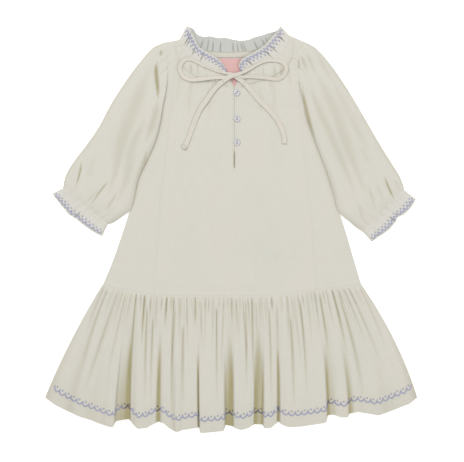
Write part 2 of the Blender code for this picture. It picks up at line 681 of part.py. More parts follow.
def circle(curve, centre, radius, sides):
    spline = curve.splines.new("POLY")
    spline.points.add(sides - 1)
    for index in range(sides):
        angle = 2 * np.pi * index / sides
        spline.points[index].co = ((centre[0] + radius * np.cos(angle)) * MM,
                                   (centre[1] + radius * np.sin(angle)) * MM, 0, 1)
    spline.use_cyclic_u = True


def button(name, x, y, turn):
    curve = bpy.data.curves.new(name, "CURVE")
    curve.dimensions = "2D"
    curve.fill_mode = "BOTH"
    curve.extrude = BUTTON_THICKNESS / 2 * MM
    circle(curve, (0, 0), BUTTON_RADIUS, 24)
    for side in (-1, 1):
        hole = (side * BUTTON_HOLE_SPREAD * np.cos(np.radians(turn)), side * BUTTON_HOLE_SPREAD * np.sin(np.radians(turn)))
        circle(curve, hole, BUTTON_HOLE_RADIUS, 8)
    item = add_object(name, curve, PEARL, 0.3)
    seat = max(front_level(y), front_level(y + BUTTON_RADIUS)) + CLOTH / 2 + 0.3
    item.location = Vector((x, y, seat + BUTTON_THICKNESS / 2)) * MM
    return item


back_panel()
back_skirt()
back_casing()
back_ruffle()
label()
yoke("yoke_left", BODY_LEFT_LINE, NECK_FRONT_LEFT, -113.4, *YOKE_LEFT_FEET, True)
yoke("yoke_right", BODY_RIGHT_LINE, NECK_FRONT_RIGHT, 131.8, *YOKE_RIGHT_FEET, False)
front_side("front_side_left", BODY_LEFT_LINE, PANEL_LEFT_LINE, YOKE_LEFT_FEET[0] - SEAM, 290, True)
front_side("front_side_right", BODY_RIGHT_LINE, PANEL_RIGHT_LINE, YOKE_RIGHT_FEET[0] - SEAM, 289.8, False)
front_centre_panel()
front_casing("neck_casing_left", NECK_FRONT_LEFT, CASING_EDGE_LEFT, 36, True)
front_casing("neck_casing_right", NECK_FRONT_RIGHT, CASING_EDGE_RIGHT, 36, False)
front_ruffle("neck_ruffle_left", NECK_FRONT_LEFT, RUFFLE_EDGE_LEFT, True)
front_ruffle("neck_ruffle_right", NECK_FRONT_RIGHT, RUFFLE_EDGE_RIGHT, False)
front_skirt()
sleeve("sleeve_left", SLEEVE_LEFT_OUTER, SLEEVE_LEFT_INNER, BODY_LEFT_LINE, 210, -1)
sleeve("sleeve_right", SLEEVE_RIGHT_OUTER, SLEEVE_RIGHT_INNER, BODY_RIGHT_LINE, 209, 1)
cuff("cuff_ruffle_left", (-286.7, 68.8), (-210.7, 7.8), CUFF_LEFT_EDGE)
cuff("cuff_ruffle_right", (294.7, 65.8), (224.8, -4.8), CUFF_RIGHT_EDGE)
knot()
tape("loop_left", LOOP_LEFT, LOOP_WIDTH, LOOP_FLATNESS, 26)
tape("loop_right", LOOP_RIGHT, LOOP_WIDTH, LOOP_FLATNESS, 26)
tape("tail_left", TAIL_LEFT, TAIL_WIDTH, TAIL_FLATNESS, 12)
tape("tail_right", TAIL_RIGHT, TAIL_WIDTH, TAIL_FLATNESS, 12)
for number, (button_x, button_y, hole_turn) in enumerate(BUTTONS, start=1):
    button(f"button_{number}", button_x, button_y, hole_turn)
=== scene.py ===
"""Looks of the ramie dress: the forms of its solids at a finer scale, in cloth, thread and pearl.

Sizes are in millimetres in the tables and become metres where a mesh is made.
X runs to the right of the dress as seen, Y towards the neck, Z up from the surface it lies on.
"""
import bpy
import numpy as np
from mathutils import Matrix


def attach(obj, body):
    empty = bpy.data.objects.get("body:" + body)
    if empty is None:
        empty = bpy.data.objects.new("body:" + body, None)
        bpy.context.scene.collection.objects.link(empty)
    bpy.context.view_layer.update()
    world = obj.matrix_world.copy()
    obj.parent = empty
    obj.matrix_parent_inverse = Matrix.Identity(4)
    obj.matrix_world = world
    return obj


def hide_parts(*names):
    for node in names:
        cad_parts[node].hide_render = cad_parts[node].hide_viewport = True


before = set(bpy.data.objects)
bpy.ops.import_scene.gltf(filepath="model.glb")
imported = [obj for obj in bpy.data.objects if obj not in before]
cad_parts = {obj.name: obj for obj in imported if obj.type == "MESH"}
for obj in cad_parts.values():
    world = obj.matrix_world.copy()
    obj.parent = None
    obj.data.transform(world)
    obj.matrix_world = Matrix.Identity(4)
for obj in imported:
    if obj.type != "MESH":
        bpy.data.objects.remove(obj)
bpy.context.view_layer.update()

MM = 0.001
WALL = 0.8              # wall of the cloth as drawn here, inside the thicker wall of its solid

# Heights of the middle of each wall
BACK_LEVEL = 0.6
BACK_TRIM_LEVEL = 2.1      # casing strip on the inside of the back
SLEEVE_OVER_BODICE = 3.9   # the sleeve's under layer where it lies on the bodice
SKIRT_FRONT_LEVEL = 3.65
CUFF_LEVEL = 3.7

# Height of the front panels' middle at each distance from the hem side: y, z
FRONT_LEVEL = [(-120, 3.4), (-92, 3.4), (-55, 2.1), (206, 2.1), (228, 3.4), (340, 3.4)]

# Stitches of the seams: pitch, length
TRIM_STITCH = (2.6, 1.7)
CASING_STITCH = (2.8, 1.9)
CLOTH_STITCH = (3, 2.1)

# Seam lines and edges of the bodice: x, y
WAIST = [(-219, -97), (-195, -104), (-162, -110), (-130, -115), (-54, -117), (15, -117), (95, -114),
    (140, -106), (186, -102), (222, -97)]
BODY_LEFT = [(-113.4, 317.6), (-108.8, 302), (-107.6, 276), (-108.3, 255), (-112.2, 228), (-118, 210),
    (-127, 194), (-138, 168), (-147, 134), (-160, 83), (-172, 34), (-189, -19), (-201, -53), (-219, -97)]
BODY_RIGHT = [(131.8, 315.5), (116, 307), (110.5, 294), (112.4, 276), (114, 260), (116.3, 245),
    (120.7, 226), (127, 209), (137, 193), (147, 168), (156, 134), (170, 80), (185, 27), (196, -8),
    (209, -53), (222, -97)]
PANEL_SEAM_LEFT = [(-94, 285.5), (-95, 262), (-99, 228), (-102, 195), (-106, 162), (-110, 120), (-118, 46),
    (-126, -53), (-131, -115)]
PANEL_SEAM_RIGHT = [(107, 290), (110, 270), (112.5, 245), (115, 208), (118, 169), (121, 134), (127, 82),
    (134, 19), (138, -36), (144, -105.4)]
NECK_FRONT_LEFT = [(-88, 322), (-83.5, 310), (-75, 297), (-62, 286), (-46, 278), (-31, 271), (-16, 264),
    (-5, 259)]
NECK_FRONT_RIGHT = [(98, 330), (94, 313), (85, 299), (71, 287), (54, 280), (39, 274), (27, 267), (18, 260)]
CASING_EDGE_LEFT = [(-96, 319), (-94.5, 304), (-87, 285), (-73, 269), (-56, 259), (-36, 252), (-16, 246),
    (3, 239)]
CASING_EDGE_RIGHT = [(107, 325), (106, 304), (99, 284), (85, 269), (68, 259), (47, 252), (27, 246),
    (8, 239)]
RUFFLE_EDGE_LEFT = [(-75, 345.8), (-68, 337), (-62, 325), (-55, 310), (-42, 301), (-28, 293), (-17, 284),
    (-10, 275), (-7, 267)]
RUFFLE_EDGE_RIGHT = [(84, 345), (77, 335), (66, 323), (56, 312), (43, 303), (27, 294), (17, 287), (13, 278),
    (16, 269)]
NECK_BACK = [(-88, 322), (-70, 312), (-41, 303), (4, 301), (46, 304.5), (80, 315), (98, 330)]
BACK_CASING_EDGE = [(-95, 312), (-74, 302), (-43, 294), (4, 292.5), (50, 296), (85, 305), (105, 318)]
RUFFLE_EDGE_BACK = [(-74, 344.5), (-64, 340), (-56, 331), (-48, 327), (-36, 328), (-22, 325), (-9, 325.5),
    (4, 322), (23, 321), (37, 325), (56, 331), (66, 334), (75, 337), (83, 344)]

# The front slit and the V where the casing ends part: y, half width of the opening
SLIT_X = 5.3
SLIT_TOP = 259
SLIT_FOOT = 104
SLIT_OPENING = [(100, 0.1), (104, 0.15), (112, 0.4), (124, 0.4), (134, 0.1), (241, 0.1), (259, 9)]

# Sleeves, from shoulder to cuff: x, y
SLEEVE_LEFT_OUTER = [(-114.4, 317.4), (-134, 308), (-158, 281), (-182, 248), (-206, 210), (-225, 174),
    (-246, 143), (-266, 117), (-281, 92), (-286.5, 69)]
SLEEVE_LEFT_INNER = [(-118.8, 208), (-120.5, 182), (-129.5, 148), (-146, 112), (-158, 86), (-171, 34),
    (-186, 21), (-202, 10.5), (-210.5, 8)]
SLEEVE_RIGHT_OUTER = [(132.8, 315.3), (144.5, 308), (166.5, 284), (193, 246), (223, 196), (253, 144),
    (273, 112), (286, 91), (293, 74), (294.5, 66)]
SLEEVE_RIGHT_INNER = [(128, 207), (129, 189), (135.5, 169), (149, 134), (165, 91), (175.5, 56), (183, 29),
    (202, 12), (213, 2.5), (224.6, -4.6)]
CUFF_LEFT_EDGE = [(-304, 60), (-296, 49), (-283, 33), (-275, 24), (-264.5, 18), (-255, 10), (-240, -1),
    (-228, -8), (-220, -11.5)]
CUFF_RIGHT_EDGE = [(314, 51), (306, 37), (293, 24.5), (283.5, 20), (280, 13), (267, -2), (250.5, -13.5),
    (240, -21)]

# Folds of the front tier, one row each from left to right:
# x at the waist seam, x at the hem, y at the hem, height of the cloth at the hem
FRONT_FOLDS = [(-219, -316.5, -286.5, 0.6), (-215.5, -299.5, -298.5, 4), (-207, -277.5, -309.5, 2.5),
    (-199, -257, -318, 6.5), (-191.5, -240, -324, 3.5), (-184, -221.5, -330.5, 6.5),
    (-176.5, -206, -335, 10), (-173, -200, -335.5, 10.5), (-170, -196.5, -326.5, 3.5),
    (-166, -184, -324, 2.5), (-162, -173, -323, 1), (-157.5, -168.5, -329, 5),
    (-151.5, -158.5, -338.5, 8.5), (-139.5, -143, -337, 7.5), (-127, -133, -331.5, 5),
    (-114, -123.5, -327, 2), (-105.5, -113.5, -330, 6), (-100, -104, -338.5, 7.5), (-95.5, -99, -341.5, 6),
    (-89.5, -92, -344, 10), (-80, -82, -340.5, 7.5), (-69, -68.5, -338.5, 7.5), (-60.5, -59, -337, 6),
    (-56, -54.5, -336.5, 1), (-53, -52, -345.7, 8.5), (-34, -32.5, -344, 9.5), (-15, -13, -342, 9),
    (-11.5, -9.5, -332.5, 2.5), (1.5, 2.5, -335, 2), (5.5, 6.5, -337.5, 7), (16.5, 17.5, -340.5, 8.5),
    (28.5, 30, -337, 7.5), (33.5, 36.5, -332.5, 6), (37, 39.5, -331.5, 2), (50.5, 53.5, -332, 2),
    (54, 56.5, -338, 7), (62.5, 67, -337, 8), (69.5, 75.5, -330.5, 6), (74, 80, -326.5, 0.8),
    (78.5, 85.5, -331.5, 6.5), (89, 96.5, -335.5, 9), (106, 117, -335, 7.5), (120.5, 135.5, -332, 9),
    (133, 152.5, -329.5, 8.5), (138.5, 161, -328, 7.5), (142, 164, -316.5, 2.5), (149, 173, -315, 3),
    (158, 186.5, -319.5, 6), (163.5, 197.5, -319.5, 6), (167, 201, -313.5, 2.5), (174, 215.5, -310.5, 4),
    (183, 236, -313.5, 6.5), (190, 249.5, -316, 7), (198.5, 266.5, -311, 3.5), (208.5, 287, -302, 6.5),
    (216, 302.5, -296.5, 5.5), (222, 316.5, -286.5, 0.6)]
SKIRT_BULGE_LEFT = -5.0
SKIRT_BULGE_RIGHT = 9.0
HEM_BACK = [(-316, -285.5), (-264, -309), (-221, -320), (-201, -321.5), (-158, -322), (-94, -324.5),
    (-36, -328), (15, -328), (54, -326), (80, -322), (117, -323), (161, -313), (193, -310), (215, -307),
    (246, -307.5), (287, -296.5), (316, -285.5)]

# Drawstring bow, tied at the neck: x, y, z along each free stretch
LOOP_LEFT = [(-4, 263.6, 9.4), (-14, 265.5, 9.4), (-26, 268.5, 9.3), (-43, 275, 9.2), (-58, 283, 9.2),
    (-68, 288, 9), (-78, 287.5, 8.6), (-85.5, 280, 8.2), (-86.5, 268.5, 7.4), (-80, 258, 6.8),
    (-68, 253.5, 7.2), (-52, 254.5, 8.2), (-34, 256.5, 8.8), (-17, 257, 9.3), (-4, 257, 9.4)]
LOOP_RIGHT = [(16, 264, 9.4), (29, 270.5, 9.4), (42, 278, 9.3), (54, 284, 9.2), (66, 286.5, 9),
    (78, 286, 8.8), (88, 282.5, 8.4), (93.5, 274.5, 8.2), (92, 265, 7.4), (86, 258, 6.8), (77, 254.5, 7.2),
    (61, 256.5, 8.2), (47, 258, 8.8), (31, 258.5, 9.3), (16, 257.5, 9.4)]
TAIL_LEFT = [(-3.4, 253.2, 7), (-10, 249.5, 7), (-20, 242.5, 6.9), (-31, 232.5, 6), (-42, 219, 5.6),
    (-52, 205, 5), (-60, 188, 4.4), (-67, 170, 4.3), (-73, 153, 4.3), (-79, 139, 4.3)]
TAIL_RIGHT = [(15.2, 253, 7), (21.5, 248.5, 7), (31, 238.5, 6.7), (45, 222, 5.7), (62, 205, 5),
    (78, 186, 4.4), (86.5, 169, 4.3), (90.5, 155, 4.3), (90.5, 145, 4.3)]

# Buttons: x, y, turn of the two holes in degrees
BUTTONS = [(9.4, 232, 45), (9.9, 188, 90), (10, 148, 90)]
BUTTON_RADIUS = 5.7
BUTTON_HOLE_RADIUS = 1.0
BUTTON_HOLE_SPREAD = 1.95

LABEL_LEFT = -20
LABEL_RIGHT = 24
LABEL_TOP = 291
LABEL_BOTTOM = 238

# Valleys of the gathers that show most below the waist seam:
# x at the seam, where it starts and ends down the tier, depth, half width
GATHER_VALLEYS = [(-215, 0.02, 0.4, 1.3, 1.1), (-208.5, 0.03, 0.75, 1.8, 1.2), (-199, 0, 0.22, 1.2, 1.1),
    (-191, 0, 0.85, 1.8, 1.2), (-184, 0, 0.25, 1.1, 1), (-177, 0.05, 0.6, 1.4, 1.3),
    (-169, 0, 0.3, 1.3, 1.1), (-161, 0, 0.7, 2.2, 1.4), (-153, 0, 0.16, 1.4, 1.1),
    (-147, 0, 0.38, 2.5, 1.5), (-137, 0, 0.2, 1.4, 1.1), (-126, 0, 0.3, 1.3, 1.2), (-117, 0, 0.16, 1.4, 1),
    (-109, 0, 0.24, 2.5, 1.5), (-101, 0, 0.15, 2, 1.2), (-93, 0.12, 0.55, 1.4, 1.2),
    (-84, 0, 0.2, 1.3, 1.1), (-75, 0, 0.42, 1.3, 1.2), (-67, 0, 0.14, 1.3, 1), (-61, 0, 0.24, 2.4, 1.4),
    (-53, 0.05, 0.4, 1.5, 1.2), (-45, 0, 0.16, 1.2, 1.1), (-38, 0, 0.15, 1.8, 1.1), (-29, 0, 0.42, 1, 1.3),
    (-20, 0, 0.16, 1.1, 1.1), (-12.5, 0, 0.62, 1.6, 1.1), (-6, 0, 0.12, 1.2, 1), (0.5, 0, 0.22, 2, 1.3),
    (8.5, 0.04, 0.32, 1.8, 1.5), (14, 0, 0.12, 1.1, 1), (19.5, 0, 0.55, 1.5, 1.1), (28, 0, 0.34, 1.6, 1.2),
    (34.7, 0.02, 0.6, 2.2, 1.4), (42, 0.08, 0.4, 1.6, 1.2), (50, 0, 0.22, 1.1, 1.2),
    (60, 0, 0.26, 1.2, 1.2), (68.5, 0, 0.14, 2.2, 1.3), (76, 0.1, 0.5, 1.5, 1.1), (85, 0, 0.15, 1.1, 1.1),
    (94, 0, 0.24, 1.1, 1.2), (103, 0.06, 0.55, 1.3, 1.2), (112, 0, 0.18, 1.1, 1.1), (120, 0, 0.14, 1.2, 1),
    (128, 0, 0.4, 1.5, 1.2), (135.5, 0, 0.14, 1.2, 1), (142, 0, 0.34, 1.6, 1.1),
    (148, 0.06, 0.55, 2.1, 1.3), (155, 0, 0.16, 1.2, 1), (160.6, 0, 0.32, 1.7, 1.1),
    (170.3, 0, 0.5, 2.2, 1.3), (180, 0, 0.14, 1.8, 1.2), (189, 0, 0.45, 1.4, 1.2),
    (198.5, 0, 0.6, 1.6, 1.2), (208, 0, 0.18, 1.1, 1.1), (216, 0.03, 0.5, 1.5, 1.1),
    (-141, 0.12, 0.8, 2, 1.2), (-130, 0.2, 0.75, 2, 1.4), (-97, 0, 0.95, 2, 1.2), (-80, 0.25, 0.85, 2, 1.5),
    (-25, 0.1, 0.75, 2, 1.2), (24.5, 0.05, 0.65, 2, 1.3), (63, 0.12, 0.8, 2, 1.3), (97, 0.2, 0.85, 2, 1.5),
    (115, 0.08, 0.75, 2, 1.2), (179, 0.1, 0.85, 2, 1.4)]

# How strongly the recesses between the folds take painted shade: x at the waist seam, painted shade
RECESS_PAINTED_SHADE = [(-219, 0), (-205, 0.35), (-178, 0.3), (-170, 0.6), (-161, 1.2), (-120, 1.4), (-60, 1.7),
    (10, 1.15), (44, 1.1), (74, 1.3), (100, 0.9), (141, 1.5), (152, 1.2), (166, 1.1), (190, 0.7), (222, 0)]

# Creases of the sleeves: the line x, y that each follows, depth, half width, painted shade
CREASES_LEFT = [([(-126.7, 288), (-127.5, 266), (-125.5, 244), (-124, 214)], 2.8, 3.1, 1),
    ([(-119, 306), (-119.5, 299), (-121, 292)], 1.4, 2.2, 0.7),
    ([(-132, 284), (-141, 265), (-164, 208), (-186, 151), (-198, 95), (-213, 48)], 1.9, 10, 0.27),
    ([(-143, 196), (-149, 180), (-169, 137), (-178, 80), (-198, 36)], 1.6, 7.5, 0.25),
    ([(-124, 222), (-130, 190), (-146, 140)], 1.4, 6, 0.36),
    ([(-144.5, 138), (-145, 120), (-151, 98), (-166, 56)], 1.3, 4.2, 0.42),
    ([(-254.5, 117), (-256.5, 100), (-265, 66)], 1.8, 1.6, 0.8),
    ([(-206, 84), (-224, 62), (-242, 35)], 1.6, 1.6, 0.6),
    ([(-193, 62), (-204, 44), (-216, 26)], 1.3, 1.8, 0.35),
    ([(-226, 66), (-238, 52), (-250, 44)], 0.9, 3, 0.12),
    ([(-232, 124), (-240, 100), (-248, 78)], 0.7, 5, 0.12)]
CREASES_RIGHT = [([(128, 300), (137, 280), (146, 256)], 1.5, 3.4, 0.18),
    ([(119, 297), (123, 284), (131, 264)], 1.4, 2.4, 0.28),
    ([(115, 292), (115, 282), (117, 268)], 1.2, 1.5, 0.75),
    ([(144, 301), (156, 280), (176, 244)], 1, 4, 0.16),
    ([(142, 272), (150, 255), (181, 190), (205, 122), (234, 50)], 1.9, 9, 0.24),
    ([(131, 252), (146, 214), (170, 158), (192, 108), (216, 42)], 1.7, 7.5, 0.26),
    ([(168, 262), (196, 205), (224, 150), (244, 104)], 1.2, 7, 0.14),
    ([(119, 246), (125, 214), (133, 182), (146, 144)], 1.6, 3, 0.85),
    ([(260, 92), (267, 72), (280, 45)], 1.8, 1.6, 0.8), ([(233, 76), (240, 52), (247, 25)], 1.2, 2, 0.22),
    ([(277, 86), (284, 72), (292, 56)], 1, 2, 0.16), ([(214, 44), (221, 26), (229, 6)], 1.2, 2.4, 0.2),
    ([(246, 78), (255, 58), (263, 38)], 1, 3, 0.12), ([(220, 144), (230, 122), (241, 102)], 0.8, 6, 0.12)]

# Creases where the casing draws up the front, in the same form
CREASES_FRONT = [([(-69, 282), (-68, 273), (-67, 262)], 1.1, 2.2, 0.42),
    ([(-57.5, 281), (-57, 270), (-55.5, 256)], 1, 1.4, 0.25),
    ([(-50.3, 292), (-50, 286), (-49.5, 278)], 1.2, 1, 0.7),
    ([(-43, 277), (-42, 268), (-41, 252)], 0.8, 1.3, 0.2),
    ([(-28, 262), (-27, 252), (-22, 243)], 0.8, 1.3, 0.2),
    ([(-84, 276), (-88, 250), (-95, 205)], 0.7, 4, 0.12),
    ([(-64, 262), (-70, 235), (-72, 190)], 0.7, 4.5, 0.13),
    ([(-36, 250), (-38, 225), (-36, 180)], 0.6, 4, 0.12),
    ([(54.5, 277), (55, 268), (55.5, 256)], 1.1, 1, 0.45),
    ([(73, 282), (74, 270), (76, 250)], 1, 1.5, 0.35), ([(83, 283), (85, 271), (87, 254)], 0.9, 1.6, 0.2),
    ([(36.3, 288), (37, 280), (38, 270)], 1, 1.1, 0.35),
    ([(94, 288), (99, 262), (103, 230)], 0.7, 3.2, 0.13),
    ([(66, 262), (72, 232), (74, 190)], 0.7, 4.5, 0.12), ([(42, 255), (50, 226), (52, 186)], 0.6, 4, 0.12),
    ([(24, 262), (25, 254), (29, 245)], 0.8, 1.5, 0.3)]

# Tight nicks where the neck ruffle is drawn up: x and y beside the casing
NICKS_LEFT = [(-68, 317), (-59, 303), (-48.5, 294), (-73, 309)]
NICKS_RIGHT = [(35.5, 285), (64, 300), (69, 310), (84, 318)]
NICKS_BACK = [(-52, 307), (-42, 304), (-30, 302), (-18, 301), (4, 301), (13, 301.5), (21.4, 302),
    (26, 302.5), (44, 304), (60, 308), (66, 310)]
NICK_WIDTH = 0.9          # half width of a nick
SEAM_DEPTH = 0.3          # how far a seam sinks below the cloth beside it

SCALLOP_PITCH = 11.0
SCALLOP_HEIGHT = 4.8
SCALLOP_ABOVE_HEM = 19.5
HEM_FOLD = 17.5           # depth of the turned hem, where its stitches run


# Lines through the tables, for single places and for whole arrays of them

def outline(rows, steps=10):
    """Many close points on a smooth line through the rows of a table."""
    points = np.array(rows, float)
    lengths = np.linalg.norm(np.diff(points, axis=0), axis=1)
    slopes = np.empty_like(points)
    slopes[0] = (points[1] - points[0]) / lengths[0]
    slopes[-1] = (points[-1] - points[-2]) / lengths[-1]
    for index in range(1, len(points) - 1):
        slopes[index] = (points[index + 1] - points[index - 1]) / (lengths[index - 1] + lengths[index])
    line = []
    for index, length in enumerate(lengths):
        for part in np.arange(steps) / steps:
            start_weight = 2 * part ** 3 - 3 * part ** 2 + 1
            leave_weight = part ** 3 - 2 * part ** 2 + part
            arrive_weight = part ** 3 - part ** 2
            line.append(start_weight * points[index] + (1 - start_weight) * points[index + 1]
                        + length * (leave_weight * slopes[index] + arrive_weight * slopes[index + 1]))
    line.append(points[-1])
    return np.array(line)


def line_lengths(line):
    return np.concatenate([[0], np.cumsum(np.linalg.norm(np.diff(line, axis=0), axis=1))])


def at_part(line, part):
    """The points at parts, 0 to 1, of the line's length."""
    lengths = line_lengths(line)
    axes = [np.interp(part * lengths[-1], lengths, line[:, axis]) for axis in range(line.shape[1])]
    return np.stack(axes, axis=-1)


def beside(line, distance):
    """The line moved sideways, to its right as it runs, by a distance."""
    along = np.gradient(line, axis=0)
    along /= np.linalg.norm(along, axis=1)[:, None]
    return line + distance * np.stack([along[:, 1], -along[:, 0]], axis=1)


def x_at(line, y):
    order = np.argsort(line[:, 1])
    return np.interp(y, line[order, 1], line[order, 0])


def y_at(line, x):
    order = np.argsort(line[:, 0])
    return np.interp(x, line[order, 0], line[order, 1])


def ease(value, start, end):
    """0 before start, 1 after end and a soft step between."""
    part = np.clip((value - start) / (end - start), 0, 1)
    return part * part * (3 - 2 * part)


def window(value, rise_start, rise_end, fall_start, fall_end):
    """A soft step up and a soft step down again."""
    return ease(value, rise_start, rise_end) * (1 - ease(value, fall_start, fall_end))


def bell(value, half_width):
    """1 at 0, falling softly to both sides."""
    return np.exp(-(value / half_width) ** 2)


def between(first, second, part):
    """Places at a part of the way from the first to the second, with a part for each place."""
    part = np.asarray(part)[..., None]
    return (1 - part) * first + part * second


def soft_between(x, places, heights):
    """Heights joined by soft steps."""
    index = np.clip(np.searchsorted(places, x) - 1, 0, len(places) - 2)
    part = np.clip((x - places[index]) / (places[index + 1] - places[index]), 0, 1)
    return heights[index] + (heights[index + 1] - heights[index]) * (1 - np.cos(np.pi * part)) / 2


def wave(part, count, sharpness=1.0):
    """Gathers between 0 and 1: broad tops and tight valleys when sharpness is over 1."""
    return 1 - abs(np.cos(np.pi * part * count)) ** (2 * sharpness)


def near_line(x, y, rows):
    """How far each place is from a smooth line through the rows, and at which part of it."""
    line = outline(rows, 6)
    lengths = line_lengths(line)
    nearest, part = np.full(np.shape(x), np.inf), np.zeros(np.shape(x))
    for start, end, reached, length in zip(line, line[1:], lengths, np.diff(lengths)):
        run = (end - start) / length
        along = np.clip((x - start[0]) * run[0] + (y - start[1]) * run[1], 0, length)
        distance = np.hypot(x - start[0] - along * run[0], y - start[1] - along * run[1])
        part = np.where(distance < nearest, (reached + along) / lengths[-1], part)
        nearest = np.minimum(nearest, distance)
    return nearest, part


def creases(x, y, rows):
    """Depth of the pressed creases at each place, and the painted shade that comes with it."""
    depth, painted_shade = np.zeros(np.shape(x)), np.zeros(np.shape(x))
    for line, deep, half_width, shade in rows:
        distance, part = near_line(x, y, line)
        taper = window(part, 0, 0.3, 0.55, 1)
        shape = taper ** 0.6 * bell(distance, half_width * (0.3 + 0.7 * taper))
        depth, painted_shade = np.maximum(depth, deep * shape), np.maximum(painted_shade, shade * shape)
    return depth, painted_shade


WAIST_LINE = outline(WAIST)
WAIST_ENDS = (WAIST[0][0], WAIST[-1][0])
BODY_LEFT_LINE = outline(BODY_LEFT)
BODY_RIGHT_LINE = outline(BODY_RIGHT)
PANEL_LEFT_LINE = outline(PANEL_SEAM_LEFT)
PANEL_RIGHT_LINE = outline(PANEL_SEAM_RIGHT)
HEM_BACK_LINE = outline(HEM_BACK)
CASING_LEFT_LINE = outline(CASING_EDGE_LEFT)
CASING_RIGHT_LINE = outline(CASING_EDGE_RIGHT)
SLEEVE_LEFT_LINE = outline(SLEEVE_LEFT_INNER)
SLEEVE_RIGHT_LINE = outline(SLEEVE_RIGHT_INNER)


def front_level(y):
    return np.interp(y, [row[0] for row in FRONT_LEVEL], [row[1] for row in FRONT_LEVEL])


def front_relief(x, y):
    """What worn cloth adds to the front's level: soft swells, seams and what the casing draws up."""
    swell = 0.45 * np.sin(x / 41 + y / 83 + 0.7) * np.sin(y / 64 - x / 150)
    swell += 0.22 * np.sin(x / 17 + 2 * np.sin(y / 90)) * np.sin(y / 120 + 1.1)
    seams = 0
    for line, side in ((PANEL_LEFT_LINE, -1), (PANEL_RIGHT_LINE, 1)):
        out = (x - x_at(line, y)) * side
        seams = seams - SEAM_DEPTH * bell(out, 0.9) + 0.32 * (out > 0) * (1 - ease(out, 6.5, 9))
    above_waist = y - y_at(WAIST_LINE, x)
    seams = seams - SEAM_DEPTH * bell(above_waist, 1) + 0.3 * (1 - ease(above_waist, 7, 10))
    drawn = 0
    for line, side in ((CASING_LEFT_LINE, -1), (CASING_RIGHT_LINE, 1)):
        below = y_at(line, x) - y
        off_slit = ease((x - SLIT_X) * side, 6, 22) * (1 - ease(abs(x - SLIT_X), 82, 100))
        pleats = wave((x - SLIT_X + 9 * np.sin(x / 13) + 5 * np.sin(x / 5.7)) / 100, 8, 0.8) - 0.5
        drawn = drawn + 0.9 * pleats * off_slit * window(below, -12, 2, 4, 50) * (y > 150)
    return swell + seams + drawn - creases(x, y, CREASES_FRONT)[0] * 0.6


def front_painted_shade(x, y):
    """Painted shade on the front: in its creases, and painted shadow beside the sleeves that lie on it."""
    painted_shade = creases(x, y, CREASES_FRONT)[1]
    for line, side in ((SLEEVE_LEFT_LINE, 1), (SLEEVE_RIGHT_LINE, -1)):
        beyond = (x - x_at(line, y)) * side
        shade = 0.3 * bell(np.maximum(beyond, 0), 4.5) * window(y, 20, 70, 190, 212)
        painted_shade = np.maximum(painted_shade, shade * (beyond < 30))
    return painted_shade


def front_height(x, y):
    """Middle of the front cloth at each place."""
    return front_level(y) + front_relief(x, y)


# Materials

def fill(made, values):
    """Sets the values of a node's inputs."""
    for name, value in values.items():
        made.inputs[name].default_value = value


def node(tree, kind, values=None, **settings):
    made = tree.nodes.new(kind)
    for name, value in settings.items():
        setattr(made, name, value)
    fill(made, values or {})
    return made


def noise(tree, source, scale, detail):
    """Noise over the cloth's own coordinates, stretched by a scale along each yarn."""
    mapping = node(tree, "ShaderNodeMapping", {"Scale": scale})
    tree.links.new(source.outputs["UV"], mapping.inputs["Vector"])
    made = node(tree, "ShaderNodeTexNoise", {"Scale": 1, "Detail": detail})
    tree.links.new(mapping.outputs["Vector"], made.inputs["Vector"])
    return made.outputs["Fac"]


def ramp(tree, source, low, high, low_at=0.3, high_at=0.7, middle=None):
    """Colours over the output of a node; middle is a place and the colour there."""
    made = node(tree, "ShaderNodeValToRGB")
    stops = made.color_ramp.elements
    stops[0].position, stops[0].color = low_at, low
    stops[1].position, stops[1].color = high_at, high
    if middle:
        stops.new(middle[0]).color = middle[1]
    tree.links.new(source, made.inputs["Fac"])
    return made.outputs["Color"]


def mixed(tree, kind, factor, first, second):
    """The mix of the colours of two outputs."""
    made = node(tree, "ShaderNodeMix", data_type="RGBA", blend_type=kind)
    made.inputs[0].default_value = factor
    tree.links.new(first, made.inputs[6])
    tree.links.new(second, made.inputs[7])
    return made.outputs[2]


def grey(value):
    return (value, value, value, 1)


def bump(tree, shader, height, strength, distance):
    """Lets a height, the output of a node, tilt a surface's normals."""
    made = node(tree, "ShaderNodeBump", {"Strength": strength, "Distance": distance})
    tree.links.new(height, made.inputs["Height"])
    tree.links.new(made.outputs["Normal"], shader.inputs["Normal"])


def bands_each(pitch):
    """The scale of a wave texture that gives one band to each pitch in millimetres."""
    return 2 * np.pi / 20 / (pitch * MM)


def start_material(name, roughness, sheen):
    material = bpy.data.materials.new(name)
    material.use_nodes = True
    tree = material.node_tree
    shader = tree.nodes["Principled BSDF"]
    fill(shader, {"Roughness": roughness, "Specular IOR Level": 0.25, "Sheen Weight": sheen,
                  "Sheen Roughness": 0.45})
    return material, tree, shader


FAINT_SHADE = (0.885, 0.875, 0.825, 1)    # what a shallow valley's shade leaves of the colour


